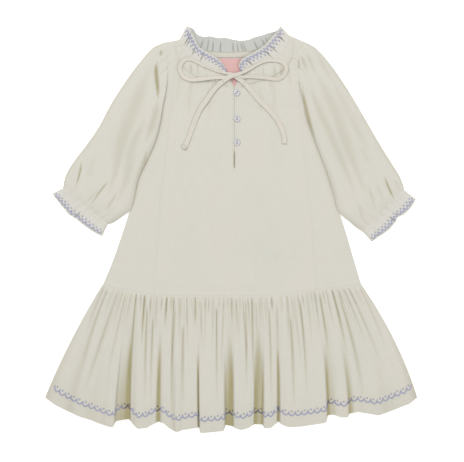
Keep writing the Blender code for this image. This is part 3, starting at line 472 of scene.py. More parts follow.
def cloth_material(name, warm, cool, painted_shade_colour, yarn=0.55, bumps=0.35, slub=0.035, sheen=0.12):
    """Plain weave with slubs, darkened by painted shade where its valley attribute is high: yarn is the pitch
    of its threads in millimetres.
    """
    material, tree, shader = start_material(name, 0.86, sheen)
    place = node(tree, "ShaderNodeUVMap", uv_map="weave")
    tone = ramp(tree, noise(tree, place, (14, 11, 1), 3), cool, warm)
    weft_slub = noise(tree, place, (45, 1500, 1), 3)
    warp_slub = noise(tree, place, (1300, 38, 1), 3)
    weft_tone = ramp(tree, weft_slub, grey(1 - slub), grey(1), 0.35, 0.6)
    warp_tone = ramp(tree, warp_slub, grey(1 - slub * 0.8), grey(1), 0.35, 0.6)
    yarns = mixed(tree, "MULTIPLY", 1, weft_tone, warp_tone)
    toned = mixed(tree, "MULTIPLY", 1, tone, yarns)
    # Painted shade: the colour is multiplied down towards the shade colour as the valley attribute rises, in
    # creases and recesses.
    valley = node(tree, "ShaderNodeAttribute", attribute_name="valley").outputs["Fac"]
    shade = ramp(tree, valley, grey(1), painted_shade_colour, 0, 1, (0.35, FAINT_SHADE))
    tree.links.new(mixed(tree, "MULTIPLY", 1, toned, shade), shader.inputs["Base Color"])
    threads = []
    for direction in ("X", "Y"):
        bands = node(tree, "ShaderNodeTexWave", bands_direction=direction)
        fill(bands, {"Scale": bands_each(yarn), "Distortion": 1.2, "Detail": 1, "Detail Scale": 0.5})
        tree.links.new(place.outputs["UV"], bands.inputs["Vector"])
        threads.append(bands.outputs["Color"])
    height = mixed(tree, "MULTIPLY", 0.7, mixed(tree, "MIX", 0.5, *threads), yarns)
    bump(tree, shader, height, bumps, 0.00012)
    tree.links.new(ramp(tree, weft_slub, grey(0.8), grey(0.92)), shader.inputs["Roughness"])
    return material


def thread_material(name, colour, dark):
    """Twisted thread: fine slanting bands along each strand."""
    material, tree, shader = start_material(name, 0.55, 0.25)
    place = node(tree, "ShaderNodeUVMap", uv_map="weave")
    twist = node(tree, "ShaderNodeTexWave", {"Scale": bands_each(0.5), "Distortion": 0.6},
                 bands_direction="DIAGONAL")
    tree.links.new(place.outputs["UV"], twist.inputs["Vector"])
    bands = ramp(tree, twist.outputs["Color"], dark, colour, 0, 0.55)
    tone = ramp(tree, noise(tree, place, (160, 160, 1), 2), grey(0.9), grey(1))
    twisted = mixed(tree, "MULTIPLY", 1, bands, tone)
    # Painted shade: the thread darkens towards a deep brown as the valley attribute rises, in recesses and in
    # a button's holes.
    valley = node(tree, "ShaderNodeAttribute", attribute_name="valley").outputs["Fac"]
    shade = ramp(tree, valley, grey(1), (0.30, 0.28, 0.24, 1), 0, 1)
    tree.links.new(mixed(tree, "MULTIPLY", 1, twisted, shade), shader.inputs["Base Color"])
    bump(tree, shader, twist.outputs["Color"], 0.4, 0.0001)
    return material


def pearl_material():
    """Shell button: soft clouds of grey, blue and cream under a polished face."""
    material, tree, shader = start_material("pearl", 0.22, 0)
    fill(shader, {"Specular IOR Level": 0.5, "Coat Weight": 0.4, "Coat Roughness": 0.15})
    place = node(tree, "ShaderNodeTexCoord")
    clouds = node(tree, "ShaderNodeTexNoise", {"Scale": 260, "Detail": 4, "Distortion": 1.4})
    tree.links.new(place.outputs["Object"], clouds.inputs["Vector"])
    tone = ramp(tree, clouds.outputs["Fac"], (0.50, 0.50, 0.58, 1), (0.76, 0.74, 0.73, 1), 0.35, 0.65)
    tree.links.new(tone, shader.inputs["Base Color"])
    bump(tree, shader, clouds.outputs["Fac"], 0.12, 0.0002)
    return material


def floor_material():
    material, tree, shader = start_material("paper", 0.9, 0)
    fill(shader, {"Emission Color": grey(1), "Emission Strength": 0.5})
    place = node(tree, "ShaderNodeTexCoord")
    grain = node(tree, "ShaderNodeTexNoise", {"Scale": 900})
    tree.links.new(place.outputs["Object"], grain.inputs["Vector"])
    tree.links.new(ramp(tree, grain.outputs["Fac"], grey(0.9), grey(0.94)), shader.inputs["Base Color"])
    return material


# Colours of painted shade: what the cloth's colour becomes in a valley at full painted shade.
OLIVE_PAINTED_SHADE = (0.58, 0.54, 0.335, 1)
RAMIE = cloth_material("ramie", (0.705, 0.670, 0.595, 1), (0.680, 0.668, 0.592, 1), OLIVE_PAINTED_SHADE)
# A greyer painted shade, for the shaded back pieces and the trim.
SLATE_PAINTED_SHADE = (0.46, 0.46, 0.48, 1)
# The same ramie painted darker and greyer, as painted shade, for the back pieces that lie behind and under
# the front.
RAMIE_IN_PAINTED_SHADE = cloth_material("ramie_in_painted_shade", (0.60, 0.60, 0.565, 1), (0.57, 0.58, 0.545, 1), SLATE_PAINTED_SHADE)
TRIM = cloth_material("trim", (0.720, 0.690, 0.625, 1), (0.695, 0.685, 0.625, 1), SLATE_PAINTED_SHADE, yarn=0.45)
TAPE_CLOTH = cloth_material("tape_cloth", (0.710, 0.665, 0.575, 1), (0.690, 0.660, 0.575, 1), OLIVE_PAINTED_SHADE,
                            yarn=0.8, bumps=0.5)
PINK_SATIN = cloth_material("pink_satin", (0.78, 0.50, 0.475, 1), (0.74, 0.465, 0.45, 1), (0.9, 0.7, 0.6, 1),
                            yarn=0.35, bumps=0.25, slub=0.04, sheen=0.3)
LILAC_THREAD = thread_material("lilac_thread", (0.49, 0.50, 0.66, 1), (0.39, 0.40, 0.57, 1))
SEWING_THREAD = thread_material("sewing_thread", (0.74, 0.71, 0.63, 1), (0.66, 0.63, 0.55, 1))
PEARL_SHELL = pearl_material()
SHARP_ANGLE = np.radians(62)


# Making meshes

def add_mesh(name, vertices, faces, material, places=(), valley=()):
    """A mesh object from millimetres; places are each corner's own coordinates in metres."""
    mesh = bpy.data.meshes.new(name)
    mesh.from_pydata((np.asarray(vertices) * MM).tolist(), [], faces)
    if len(places):
        layer = mesh.uv_layers.new(name="weave")
        layer.data.foreach_set("uv", np.concatenate([np.asarray(rows).ravel() for rows in places]))
    # The valley attribute carries each point's painted shade, 0 to 1.
    if len(valley):
        attribute = mesh.attributes.new("valley", "FLOAT", "POINT")
        attribute.data.foreach_set("value", valley)
    mesh.polygons.foreach_set("use_smooth", np.ones(len(mesh.polygons), bool))
    mesh.materials.append(material)
    mesh.update()
    item = bpy.data.objects.new(name, mesh)
    bpy.context.scene.collection.objects.link(item)
    return item


def belong(item, nodes=()):
    """Rides on the dress and stands for its solids."""
    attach(item, "root")
    if nodes:
        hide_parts(*nodes)
    return item


def steps_between(points, axis):
    return np.linalg.norm(np.diff(points, axis=axis), axis=-1)


def blurred(values, reach, closed):
    """Mean over a window to both sides along the rows."""
    if reach < 1:
        return values
    wide = np.pad(values, [(0, 0), (reach, reach)], mode="wrap" if closed else "edge")
    sums = np.cumsum(np.insert(wide, 0, 0, axis=1), axis=1)
    return (sums[:, 2 * reach + 1:] - sums[:, :-2 * reach - 1]) / (2 * reach + 1)


def highest(values, reach, closed):
    """The highest value within a window to both sides along the rows."""
    wide = np.pad(values, [(0, 0), (reach, reach)], mode="wrap" if closed else "edge")
    return np.max([wide[:, start:start + values.shape[1]] for start in range(2 * reach + 1)], axis=0)


def cloth(name, points, nodes, material=RAMIE, wall=WALL, closed=False, cut=None, flip=False,
          valley_depth=4, valley_reach=7, valley=0):
    """A wall of cloth from a grid of points, rows by columns, each x, y, z in millimetres.

    Its valleys take painted shade from 0 to 1: what is given, and more where the grid lies lower than beside
    it.
    """
    rows, columns = points.shape[:2]
    across = np.concatenate([[0], np.cumsum(steps_between(points, 1).mean(axis=0))])
    along = np.concatenate([[0], np.cumsum(steps_between(points, 0).mean(axis=1))])
    step = across[-1] / (columns - 1)
    across = np.append(across, across[-1] + step)
    reach = int(round(valley_reach / step))
    height = points[:, :, 2]
    deep = (blurred(highest(height, reach, closed), reach // 2, closed) - height) / valley_depth
    valley = np.clip(valley + np.clip(deep - 0.08, 0, 1) ** 1.3, 0, 1)
    faces, places = [], []
    order = -1 if flip else 1
    for row in range(rows - 1):
        near, far = row * columns, (row + 1) * columns
        upper, lower = along[row] * MM, along[row + 1] * MM
        for column in range(columns if closed else columns - 1):
            if cut and column == cut[0] and row < cut[1]:
                continue
            after = (column + 1) % columns
            left, right = across[column] * MM, across[column + 1] * MM
            faces.append([near + column, far + column, far + after, near + after][::order])
            places.append([(left, upper), (left, lower), (right, lower), (right, upper)][::order])
    item = add_mesh(name, points.reshape(-1, 3), faces, material, places, valley.ravel())
    thickness = item.modifiers.new("wall", "SOLIDIFY")
    thickness.thickness = wall * MM
    thickness.offset = 0
    state = bpy.context.evaluated_depsgraph_get()
    thick = bpy.data.meshes.new_from_object(item.evaluated_get(state), preserve_all_data_layers=True,
                                            depsgraph=state)
    item.modifiers.clear()
    item.data = thick
    thick.name = name
    thick.set_sharp_from_angle(angle=SHARP_ANGLE)
    return belong(item, nodes)


def grid(columns, rows):
    """Places across and along a piece, rows by columns."""
    return np.meshgrid(np.linspace(0, 1, columns + 1), np.linspace(0, 1, rows + 1))


def directions(run):
    """Unit vectors to the side of a run of points and up from it."""
    along = np.gradient(run, axis=0)
    along /= np.linalg.norm(along, axis=1)[:, None] + 1e-9
    side = np.stack([along[:, 1], -along[:, 0], np.zeros(len(run))], axis=1)
    side /= np.linalg.norm(side, axis=1)[:, None] + 1e-9
    return side, np.cross(side, along)


def tube_faces(base, reach, around):
    """Faces of a tube of rings and its ends, and their corners' places: round the tube, then along it."""
    sides = len(around) - 1
    faces, places = [], []
    for index in range(len(reach) - 1):
        near, far = base + index * sides, base + (index + 1) * sides
        for turn in range(sides):
            after = (turn + 1) % sides
            faces.append([near + turn, near + after, far + after, far + turn])
            places.append([(around[turn], reach[index]), (around[turn + 1], reach[index]),
                           (around[turn + 1], reach[index + 1]), (around[turn], reach[index + 1])])
    for end, order in ((0, -1), (len(reach) - 1, 1)):
        faces.append([base + end * sides + turn for turn in range(sides)][::order])
        places.append([(0, reach[end])] * sides)
    return faces, places


def strands(name, runs, radius, material, sides=5, flat=0.75):
    """Threads: a tube along each run of points, pinched at its ends, all in one mesh.

    A fourth number of a point is how much of a valley's shade the thread takes there.
    """
    vertices, faces, places, shade = [], [], [], []
    angles = 2 * np.pi * np.arange(sides) / sides
    for run in runs:
        run = np.asarray(run, float)
        shade.extend(np.repeat(run[:, 3] if run.shape[1] > 3 else np.zeros(len(run)), sides))
        run = run[:, :3]
        side, rise = directions(run)
        size = np.full(len(run), radius)
        size[0] = size[-1] = radius * 0.35
        more_faces, more_places = tube_faces(len(vertices), line_lengths(run) * MM,
                                             np.arange(sides + 1) * radius * MM)
        faces.extend(more_faces)
        places.extend([(along, around) for around, along in corners] for corners in more_places)
        ring = (run[:, None] + size[:, None, None] * (np.cos(angles)[None, :, None] * side[:, None]
                + flat * np.sin(angles)[None, :, None] * rise[:, None]))
        vertices.extend(ring.reshape(-1, 3))
    return belong(add_mesh(name, vertices, faces, material, places, np.array(shade)))


def dashes(line, pitch, length):
    """Short runs for stitches along a line of points that lies on the cloth."""
    lengths = line_lengths(line)
    runs = []
    for start in np.arange(pitch * 0.5, lengths[-1] - length, pitch):
        at = start + length * np.linspace(0, 1, 4)
        run = np.stack([np.interp(at, lengths, line[:, axis]) for axis in range(3)], axis=1)
        run[[0, -1], 2] -= 0.18
        runs.append(run)
    return runs


def stitches(name, line, slot, pitch, length, radius=0.2):
    """A row of sewn stitches along a line of points."""
    strands(name, dashes(line, pitch, length), radius, SEWING_THREAD, 4)


# Camera and drawstring

CAMERA_HEIGHT = 1.9       # metres above the cloth
FRAME_WIDTH = 0.7888      # what the picture spans at the cloth, in metres
CLOTH_LEVEL = 0.005
FRAME_CENTRE = (0.0014, -0.0034)
TAPE_SIDES = 20
SENSOR = 36


def camera():
    data = bpy.data.cameras.new("camera")
    data.sensor_fit = "HORIZONTAL"
    data.sensor_width = SENSOR
    data.lens = SENSOR * CAMERA_HEIGHT / FRAME_WIDTH
    item = bpy.data.objects.new("camera", data)
    bpy.context.scene.collection.objects.link(item)
    item.location = (*FRAME_CENTRE, CAMERA_HEIGHT + CLOTH_LEVEL)
    bpy.context.scene.camera = item


def ribbon(name, routes, nodes):
    """Flat tapes with rolled edges: each route has points, widths along it, thickness and tilt in degrees."""
    vertices, faces, places = [], [], []
    angles = 2 * np.pi * np.arange(TAPE_SIDES) / TAPE_SIDES
    flat = np.sign(np.cos(angles)) * abs(np.cos(angles)) ** 0.6
    thick = np.sign(np.sin(angles)) * abs(np.sin(angles)) ** 0.6 * (0.72 + 0.28 * abs(flat) ** 4)
    for route, widths, thickness, tilt in routes:
        line = outline(route)
        length = line_lengths(line)[-1]
        part = np.linspace(0, 1, max(int(length / 1.1), 4) + 1)
        run = at_part(line, part)
        side, rise = directions(run)
        lean = np.radians(np.interp(part, np.linspace(0, 1, len(tilt)), tilt))[:, None]
        side, rise = side * np.cos(lean) + rise * np.sin(lean), rise * np.cos(lean) - side * np.sin(lean)
        width = np.interp(part, np.linspace(0, 1, len(widths)), widths)
        width = width + 0.25 * np.sin(part * length / 7)
        around = np.arange(TAPE_SIDES + 1) * (width.mean() * 2 / TAPE_SIDES) * MM
        more_faces, more_places = tube_faces(len(vertices), line_lengths(run) * MM, around)
        faces.extend(more_faces)
        places.extend(more_places)
        ring = (run[:, None] + (width / 2)[:, None, None] * flat[None, :, None] * side[:, None]
                + thickness / 2 * thick[None, :, None] * rise[:, None])
        vertices.extend(ring.reshape(-1, 3))
    item = add_mesh(name, vertices, faces, TAPE_CLOTH, places, np.zeros(len(vertices)))
    return belong(item, nodes)


# The knots, each a few short lengths of tape: points, widths, thickness, tilt
KNOT_PARTS = [
    ([(-14, 250.8, 8), (-9, 254.4, 9.2), (-3, 257.9, 10.4), (4, 260.4, 11.2), (12, 262.6, 11),
      (20, 265.4, 9.8)], [8.2, 8.2, 7.6, 6.6, 6, 5.2], 1.6, [0, -6, 4]),
    ([(-8, 258.2, 9), (0, 259.4, 9.6), (8, 259.4, 9.8), (18, 258, 9.3)], [5.4, 5.6, 5.4, 5.2], 1.7, [4, -4]),
    ([(6, 258.8, 9), (12, 255.6, 8.6), (18, 251.2, 7.6), (22, 247.8, 7)], [6.2, 7.2, 8, 8.4], 1.5, [-6, 4]),
    ([(-6, 264, 9.3), (1, 262.4, 9.6), (7, 260.6, 9.4)], [4.8, 5.4, 5], 1.6, [0, 0])]
END_KNOT_PARTS = [
    ([(-77.6, 142.2, 5.6), (-80.8, 140.6, 6.3), (-82.2, 137.8, 5.8)], [3.4, 4.2, 3.4], 2.2, [0, 0]),
    ([(-76.6, 139.6, 5.2), (-79.2, 137.4, 6), (-82, 136.6, 5.2)], [3, 3.8, 3], 2, [0, 0])]

# Widths along each loop, a folded tape seen partly from its edge
LOOP_WIDTHS = {"loop_left": [4.4, 3.4, 3.2, 4.4, 6.8, 7.6, 6.6, 6.4, 6.6, 6.2, 5.4],
               "loop_right": [5.4, 4.8, 4.6, 5.2, 6.6, 7.2, 6.4, 6.2, 6.4, 6.0, 5.4]}


def drawstring():
    for name, rows in (("loop_left", LOOP_LEFT), ("loop_right", LOOP_RIGHT)):
        middle = np.sin(np.pi * np.linspace(0, 1, len(rows)))
        route = [(x, y, z - 1.6 * sag) for (x, y, z), sag in zip(rows, middle)]
        path = outline(route)[::3] * MM
        item = ribbon("drawstring_" + name, [(route, LOOP_WIDTHS[name], 0.8, [6, 10, 8])], (name,))
    tail_left = [(-6, 256, 8.4), (-15, 250, 7.4), (-25.5, 241, 6.9), (-34.5, 230, 6.2)] + TAIL_LEFT[4:]
    for name, rows in (("tail_left", tail_left), ("tail_right", TAIL_RIGHT)):
        route = [(x, y, z - 0.15 * min(index, 2)) for index, (x, y, z) in enumerate(rows)]
        path = outline(route)[::3] * MM
        routes = [(route, [7, 8.6, 8.6, 8.4, 8.2, 8], 0.9, [4, -3, 4, -2])]
        item = ribbon("drawstring_" + name, routes, (name,))
    ribbon("drawstring_knot", KNOT_PARTS, ("bow_knot",))
    ribbon("drawstring_end_knot", END_KNOT_PARTS, ())


camera()
drawstring()


# Shapes of the pieces

def patch(top, bottom, left, right, across, along):
    """Places inside four edges, each a function of the part of its length."""
    over, down = across[..., None], along[..., None]
    start, end = np.zeros(1), np.ones(1)
    from_sides = (1 - over) * left(along) + over * right(along)
    from_ends = (1 - down) * top(across) + down * bottom(across)
    corners = ((1 - over) * (1 - down) * top(start) + over * (1 - down) * top(end)
               + (1 - over) * down * bottom(start) + over * down * bottom(end))
    return from_sides + from_ends - corners


def side_edge(line, top_y, bottom_y):
    def edge(part):
        y = top_y + (bottom_y - top_y) * part
        return np.stack([x_at(line, y), y], axis=-1)
    return edge


def cross_edge(line, left_x, right_x):
    def edge(part):
        x = left_x + (right_x - left_x) * part
        return np.stack([x, y_at(line, x)], axis=-1)
    return edge


def straight_edge(start, end):
    return lambda part: between(start, end, part)


def raised(plan, height):
    return np.concatenate([plan, height[..., None]], axis=-1)


def back_panel():
    neck = np.vstack([outline([(-113.4, 317.6), (-101, 320), (-90, 321)]), outline(NECK_BACK)[2:-2],
                      outline([(99, 328.5), (115, 323), (131.8, 315.5)])])
    (left, left_top), (right, right_top) = BODY_LEFT[0], (131.8, 315.5)
    across, along = grid(110, 100)
    plan = patch(cross_edge(neck, left, right), cross_edge(WAIST_LINE, *WAIST_ENDS),
                 side_edge(BODY_LEFT_LINE, left_top, -97), side_edge(BODY_RIGHT_LINE, right_top, -97),
                 across, along)
    x, y = plan[..., 0], plan[..., 1]
    swell = 0.18 * (1 + np.sin(x / 37 + 1.3) * np.sin(y / 52 + x / 210))
    item = cloth("back_panel_cloth", raised(plan, WALL / 2 + swell), ("back_panel",),
                 RAMIE_IN_PAINTED_SHADE)


def yoke(name, body_line, neck_rows, armhole_foot, neck_foot, outer_first):
    neck_line = outline(neck_rows)
    armhole = side_edge(body_line, body_line[0, 1], armhole_foot)
    neckline = side_edge(neck_line, neck_line[0, 1], neck_foot)
    start, end = np.zeros(1), np.ones(1)
    shoulder = straight_edge(armhole(start)[0], neckline(start)[0])
    foot = straight_edge(armhole(end)[0], neckline(end)[0])
    across, along = grid(26, 34)
    plan = patch(shoulder, foot, armhole, neckline, across if outer_first else 1 - across, along)
    x, y = plan[..., 0], plan[..., 1]
    grain = 0.1 * np.sin(y / 1.5 + x / 40)
    fall = 1.2 * (1 - ease(along, 0, 0.22))
    lap = 0.25 * ease(along, 0.7, 1)
    item = cloth(name + "_cloth", raised(plan, front_height(x, y) + grain - fall + lap), (name,))


def front_side(name, body_line, seam_line, body_top, seam_top, body_on_left):
    outer = side_edge(body_line, body_top, body_line[-1, 1])
    inner = side_edge(seam_line, seam_top, seam_line[-1, 1])
    start, end = np.zeros(1), np.ones(1)
    top = straight_edge(outer(start)[0], inner(start)[0])
    bottom = cross_edge(WAIST_LINE, outer(end)[0, 0], inner(end)[0, 0])
    across, along = grid(52, 170)
    plan = patch(top, bottom, outer, inner, across if body_on_left else 1 - across, along)
    x, y = plan[..., 0], plan[..., 1]
    item = cloth(name + "_cloth", raised(plan, front_height(x, y)), (name,),
                 valley=front_painted_shade(x, y))


def centre_top_line():
    left_neck = outline(NECK_FRONT_LEFT)
    right_neck = outline(NECK_FRONT_RIGHT)
    left = left_neck[left_neck[:, 1] < 299]
    right = right_neck[right_neck[:, 1] < 302][::-1]
    return np.vstack([[CENTRE_TOP_LEFT], left, [(SLIT_X, SLIT_TOP)], right, [CENTRE_TOP_RIGHT]])


# Corners of the front centre panel
CENTRE_TOP_LEFT = (-93.8, 290.3)
CENTRE_TOP_RIGHT = (106.8, 290.5)
CENTRE_WAIST_LEFT = -131
CENTRE_WAIST_RIGHT = 144
CENTRE_WAIST_Y = -117


def slit_spread(x, y, side):
    """Moves places of each side, -1 or 1, away from the slit to open it."""
    opening = np.interp(y, *np.transpose(SLIT_OPENING))
    reach = 45
    distance = np.maximum((x - SLIT_X) * side, 0)
    return np.where(distance >= reach, x, SLIT_X + side * (opening + distance * (1 - opening / reach)))


def front_centre_panel():
    """Half of its columns lie on each side of the slit, which is cut as far as the upper rows reach."""
    half, upper, lower = 88, 62, 92
    left, right = CENTRE_TOP_LEFT[0], CENTRE_TOP_RIGHT[0]
    rows = np.concatenate([np.linspace(SLIT_TOP, SLIT_FOOT, upper + 1),
                           np.linspace(SLIT_FOOT, CENTRE_WAIST_Y, lower + 1)[1:]])
    down = (SLIT_TOP - rows) / (SLIT_TOP - CENTRE_WAIST_Y)
    at_top = (SLIT_X - left) / (right - left)
    at_foot = (SLIT_X - CENTRE_WAIST_LEFT) / (CENTRE_WAIST_RIGHT - CENTRE_WAIST_LEFT)
    slit = (at_top + (at_foot - at_top) * down)[:, None]
    part = np.linspace(0, 1, half + 1)[None, :]
    place = np.concatenate([slit * part - 1e-4 * (part == 1),
                            slit + (1 - slit) * part + 1e-4 * (part == 0)], axis=1)
    plan = patch(
        cross_edge(centre_top_line(), left, right),
        cross_edge(WAIST_LINE, CENTRE_WAIST_LEFT, CENTRE_WAIST_RIGHT),
        side_edge(PANEL_LEFT_LINE, CENTRE_TOP_LEFT[1], y_at(WAIST_LINE, CENTRE_WAIST_LEFT)),
        side_edge(PANEL_RIGHT_LINE, CENTRE_TOP_RIGHT[1], y_at(WAIST_LINE, CENTRE_WAIST_RIGHT)),
        place, np.repeat(down[:, None], place.shape[1], 1))
    side = np.where(np.arange(place.shape[1]) <= half, -1, 1)[None, :]
    x, y = plan[..., 0], plan[..., 1]
    middle = x[:, half:half + 2].mean(axis=1, keepdims=True)
    x = x + (SLIT_X - middle) * np.maximum(1 - abs(x - middle) / 60, 0)
    x = slit_spread(x, y, side)
    points = np.stack([x, y, front_height(x, y)], axis=-1)
    # Painted shade: dark along the open foot of the slit and faint above it, with painted shadow beside the
    # casings' edges.
    painted_shade = (1.4 - 1.22 * ease(y, 126, 136)) * ease(y, SLIT_FOOT - 3, SLIT_FOOT + 3) * (y < 250)
    painted_shade = painted_shade * bell(x - SLIT_X, 1.25)
    for line, strength in ((CASING_LEFT_LINE, 0.3), (CASING_RIGHT_LINE, 0.55)):
        distance = np.min(np.hypot(x[..., None] - line[:, 0], y[..., None] - line[:, 1]), axis=-1)
        painted_shade = np.maximum(painted_shade, strength * bell(distance, 2.2) * (abs(x - SLIT_X) > 12))
    item = cloth("front_centre_cloth", points, ("front_centre_panel",), cut=(half, upper),
                 valley=np.maximum(painted_shade, front_painted_shade(x, y)))


def nick_depth(place, line, nicks, half_width):
    """Tight nicks across a ruffle, at the places of its neck line nearest to each."""
    lengths = line_lengths(line)
    depth = np.zeros(np.shape(place))
    for nick in nicks:
        at = lengths[np.argmin(np.linalg.norm(line - nick, axis=1))]
        depth = np.maximum(depth, bell(place * lengths[-1] - at, half_width))
    return depth


def casing_rise(place, along):
    """How far a front casing and its gathers stand above the front."""
    gather = 0.9 * wave(place, 10) * ease(1 - place, 0.12, 0.4) * (1 - 0.7 * along)
    return 1.4 - 0.9 * ease(along, 0.6, 1) + gather


def front_casing(name, neck_rows, edge_rows, left_side):
    across, along = grid(110, 20)
    place = across if left_side else 1 - across
    plan = between(at_part(outline(neck_rows), place), at_part(outline(edge_rows), place), along)
    x, y = plan[..., 0], plan[..., 1]
    points = raised(plan, front_height(x, y) + casing_rise(place, along))
    item = cloth(name + "_cloth", points, (name,), valley=front_painted_shade(x, y))


def ruffle_front(neck_line, edge_line, nicks, place, out):
    """Places on the front neck ruffle: place along the neck, out towards its free edge."""
    x, y = np.moveaxis(between(at_part(neck_line, place), at_part(edge_line, place), out), -1, 0)
    pressed = 0.25 + 0.75 * ease(1 - place, 0.02, 0.2)
    rise = 3.2 * out * ease(place, -0.1, 0.3)
    flute = (0.4 + out) * wave(place + 0.012 * np.sin(place * 47), 8, 0.7)
    tight = 2.2 * nick_depth(place, neck_line, nicks, NICK_WIDTH) * bell(out - 0.5, 0.3)
    return np.stack([x, y, front_level(y) + 1.4 + (rise + flute - tight) * pressed], axis=-1)


def ruffle_back(neck_line, edge_line, place, out):
    lean = 1.1 * np.sin(place * 41) * out
    x, y = np.moveaxis(between(at_part(neck_line, place), at_part(edge_line, place), out), -1, 0)
    near_end = np.minimum(place, 1 - place)
    flute = (1.9 + 0.7 * wave(place + 0.01 * np.sin(place * 60), 12)) * ease(near_end, 0.03, 0.2)
    turn_up = 2.2 * (1 - ease(near_end, 0, 0.09))
    tight = 2.6 * nick_depth(place, neck_line, NICKS_BACK, 1.1) * (1 - ease(out, 0.45, 0.95))
    return np.stack([x + lean, y, BACK_LEVEL + 0.3 + flute + turn_up - np.minimum(tight, flute)], axis=-1)


def neck_ruffle(side, neck_rows, edge_rows, nicks):
    """One front half of the neck ruffle, with its embroidery and the stitches along its edge."""
    neck_line, edge_line = outline(neck_rows), outline(edge_rows)
    across, along = grid(180, 22)
    place = across if side == "left" else 1 - across

    def surface(place, inward):
        return ruffle_front(neck_line, edge_line, nicks, place, 1 - inward)

    # Painted shade in the nicks where the ruffle is drawn up.
    drawn = 0.9 * nick_depth(place, neck_line, nicks, NICK_WIDTH) * bell(along - 0.5, 0.32)
    item = cloth("neck_ruffle_" + side + "_cloth", surface(place, along), ("neck_ruffle_" + side,),
                 TRIM, valley=drawn)
    scallop_row("neck_scallops_" + side, 15, 0.16, 0.56, surface, 1.1)
    edge_run = surface(np.linspace(0.01, 0.985, 150), np.full(150, 0.07))
    edge_run[:, 2] += WALL / 2 + 0.1
    stitches("neck_edge_stitches_" + side, edge_run, "embroidered_trim", *TRIM_STITCH)


def neck_trims():
    sides = (("left", NECK_FRONT_LEFT, CASING_EDGE_LEFT, RUFFLE_EDGE_LEFT, NICKS_LEFT),
             ("right", NECK_FRONT_RIGHT, CASING_EDGE_RIGHT, RUFFLE_EDGE_RIGHT, NICKS_RIGHT))
    for side, neck_rows, casing_rows, _, _ in sides:
        front_casing("neck_casing_" + side, neck_rows, casing_rows, side == "left")
    for side, neck_rows, _, edge_rows, nicks in sides:
        neck_ruffle(side, neck_rows, edge_rows, nicks)
    neck_line = outline(NECK_BACK)
    across, along = grid(260, 20)
    points = ruffle_back(neck_line, outline(RUFFLE_EDGE_BACK), across, 1 - along)
    item = cloth("neck_ruffle_back_cloth", points, ("neck_ruffle_back",), RAMIE_IN_PAINTED_SHADE)
    across, along = grid(120, 8)
    place = 0.03 + 0.94 * across
    plan = between(at_part(neck_line, place), at_part(outline(BACK_CASING_EDGE), place), along)
    height = BACK_TRIM_LEVEL - 0.3 + 0.35 * wave(place, 14) - 0.5 * ease(along, 0.7, 1)
    # The back casing takes a faint painted shade all over.
    item = cloth("neck_casing_back_cloth", raised(plan, height), ("neck_casing_back",),
                 valley=0.12)


def scallop(index, count, low, high, surface, lift=0.25):
    """One U of the thread chain with the bud over its middle, on a surface of two numbers."""
    part = np.linspace(0, 1, 13)
    bow = abs(2 * part - 1) ** 2.2
    start = 0.03 + 0.94 * index / count
    end = 0.03 + 0.94 * (index + 1) / count
    place = start + (end - start) * part
    chain = surface(place, high - (high - low) * (1 - 0.6 * bow))
    bud = surface(np.full(5, (start + end) / 2), low + (high - low) * np.linspace(0.62, 1.0, 5))
    runs = [chain, bud]
    for run in runs:
        run[:, 2] += WALL / 2 + lift
    return runs


def scallop_row(name, count, low, high, surface, radius):
    runs = []
    for index in range(count):
        runs.extend(scallop(index, count, low, high, surface))
    strands(name, runs, radius, LILAC_THREAD, flat=0.5)


def label():
    across, along = grid(40, 48)
    wide, long = LABEL_RIGHT - LABEL_LEFT, LABEL_TOP - LABEL_BOTTOM
    x, y = LABEL_LEFT + wide * across, LABEL_TOP - long * along
    edge = np.minimum(np.minimum(across, 1 - across) * wide, np.minimum(along, 1 - along) * long)
    z = 1.75 + 0.25 * np.sin(across * 5 + along * 3) * ease(edge, 0, 8) - 0.2 * (1 - ease(edge, 0, 2))
    item = cloth("label_cloth", np.stack([x, y, z], axis=-1), ("label",), PINK_SATIN, wall=0.4)
    inset, level = 1.6, 2.05
    left, right = LABEL_LEFT + inset, LABEL_RIGHT - inset
    top, bottom = LABEL_TOP - inset, LABEL_BOTTOM + inset
    corners = [(left, top, level), (right, top, level), (right, bottom, level), (left, bottom, level)]
    runs = []
    for first, second in zip(corners, corners[1:] + corners[:1]):
        runs.extend(dashes(np.linspace(first, second, 30), *TRIM_STITCH))
    strands("label_stitches", runs, 0.18, SEWING_THREAD, 4)


# Gathered tiers

FOLDS = np.array(FRONT_FOLDS, float)


def tier_x(top_x, hem_x, side, down):
    """Places across a tier, whose sides bulge a little between waist and hem; side is 0 to 1."""
    bulge = SKIRT_BULGE_LEFT * (1 - side) ** 3 + SKIRT_BULGE_RIGHT * side ** 3
    return top_x + (hem_x - top_x) * down + bulge * 4 * down * (1 - down)


def front_seam_y(x):
    """Where the front tier starts, a little above the waist line."""
    return y_at(WAIST_LINE, x) + 2


def gather_valleys(top_x, down):
    """Depth of each valley, how many half widths away each place is, and how much of it is left there."""
    for place, start, end, depth, half_width in GATHER_VALLEYS:
        width = half_width * (1 + 0.9 * down)
        lean = 12 * down * np.sin(place / 13) * (depth < 2)
        run = window(down, start - 0.05, start + 0.02, 0.35 * end, end * 1.25)
        yield depth, (top_x - place - lean) / width, run


def fine_gathers(top_x, down):
    """Small uneven gathers at the seam, -1 in their valleys to 1."""
    place = top_x + 9 * down * np.sin(top_x / 11)
    return np.sin(place + 2.6 * np.sin(place / 9.7) + 1.3 * np.sin(place / 4.1))


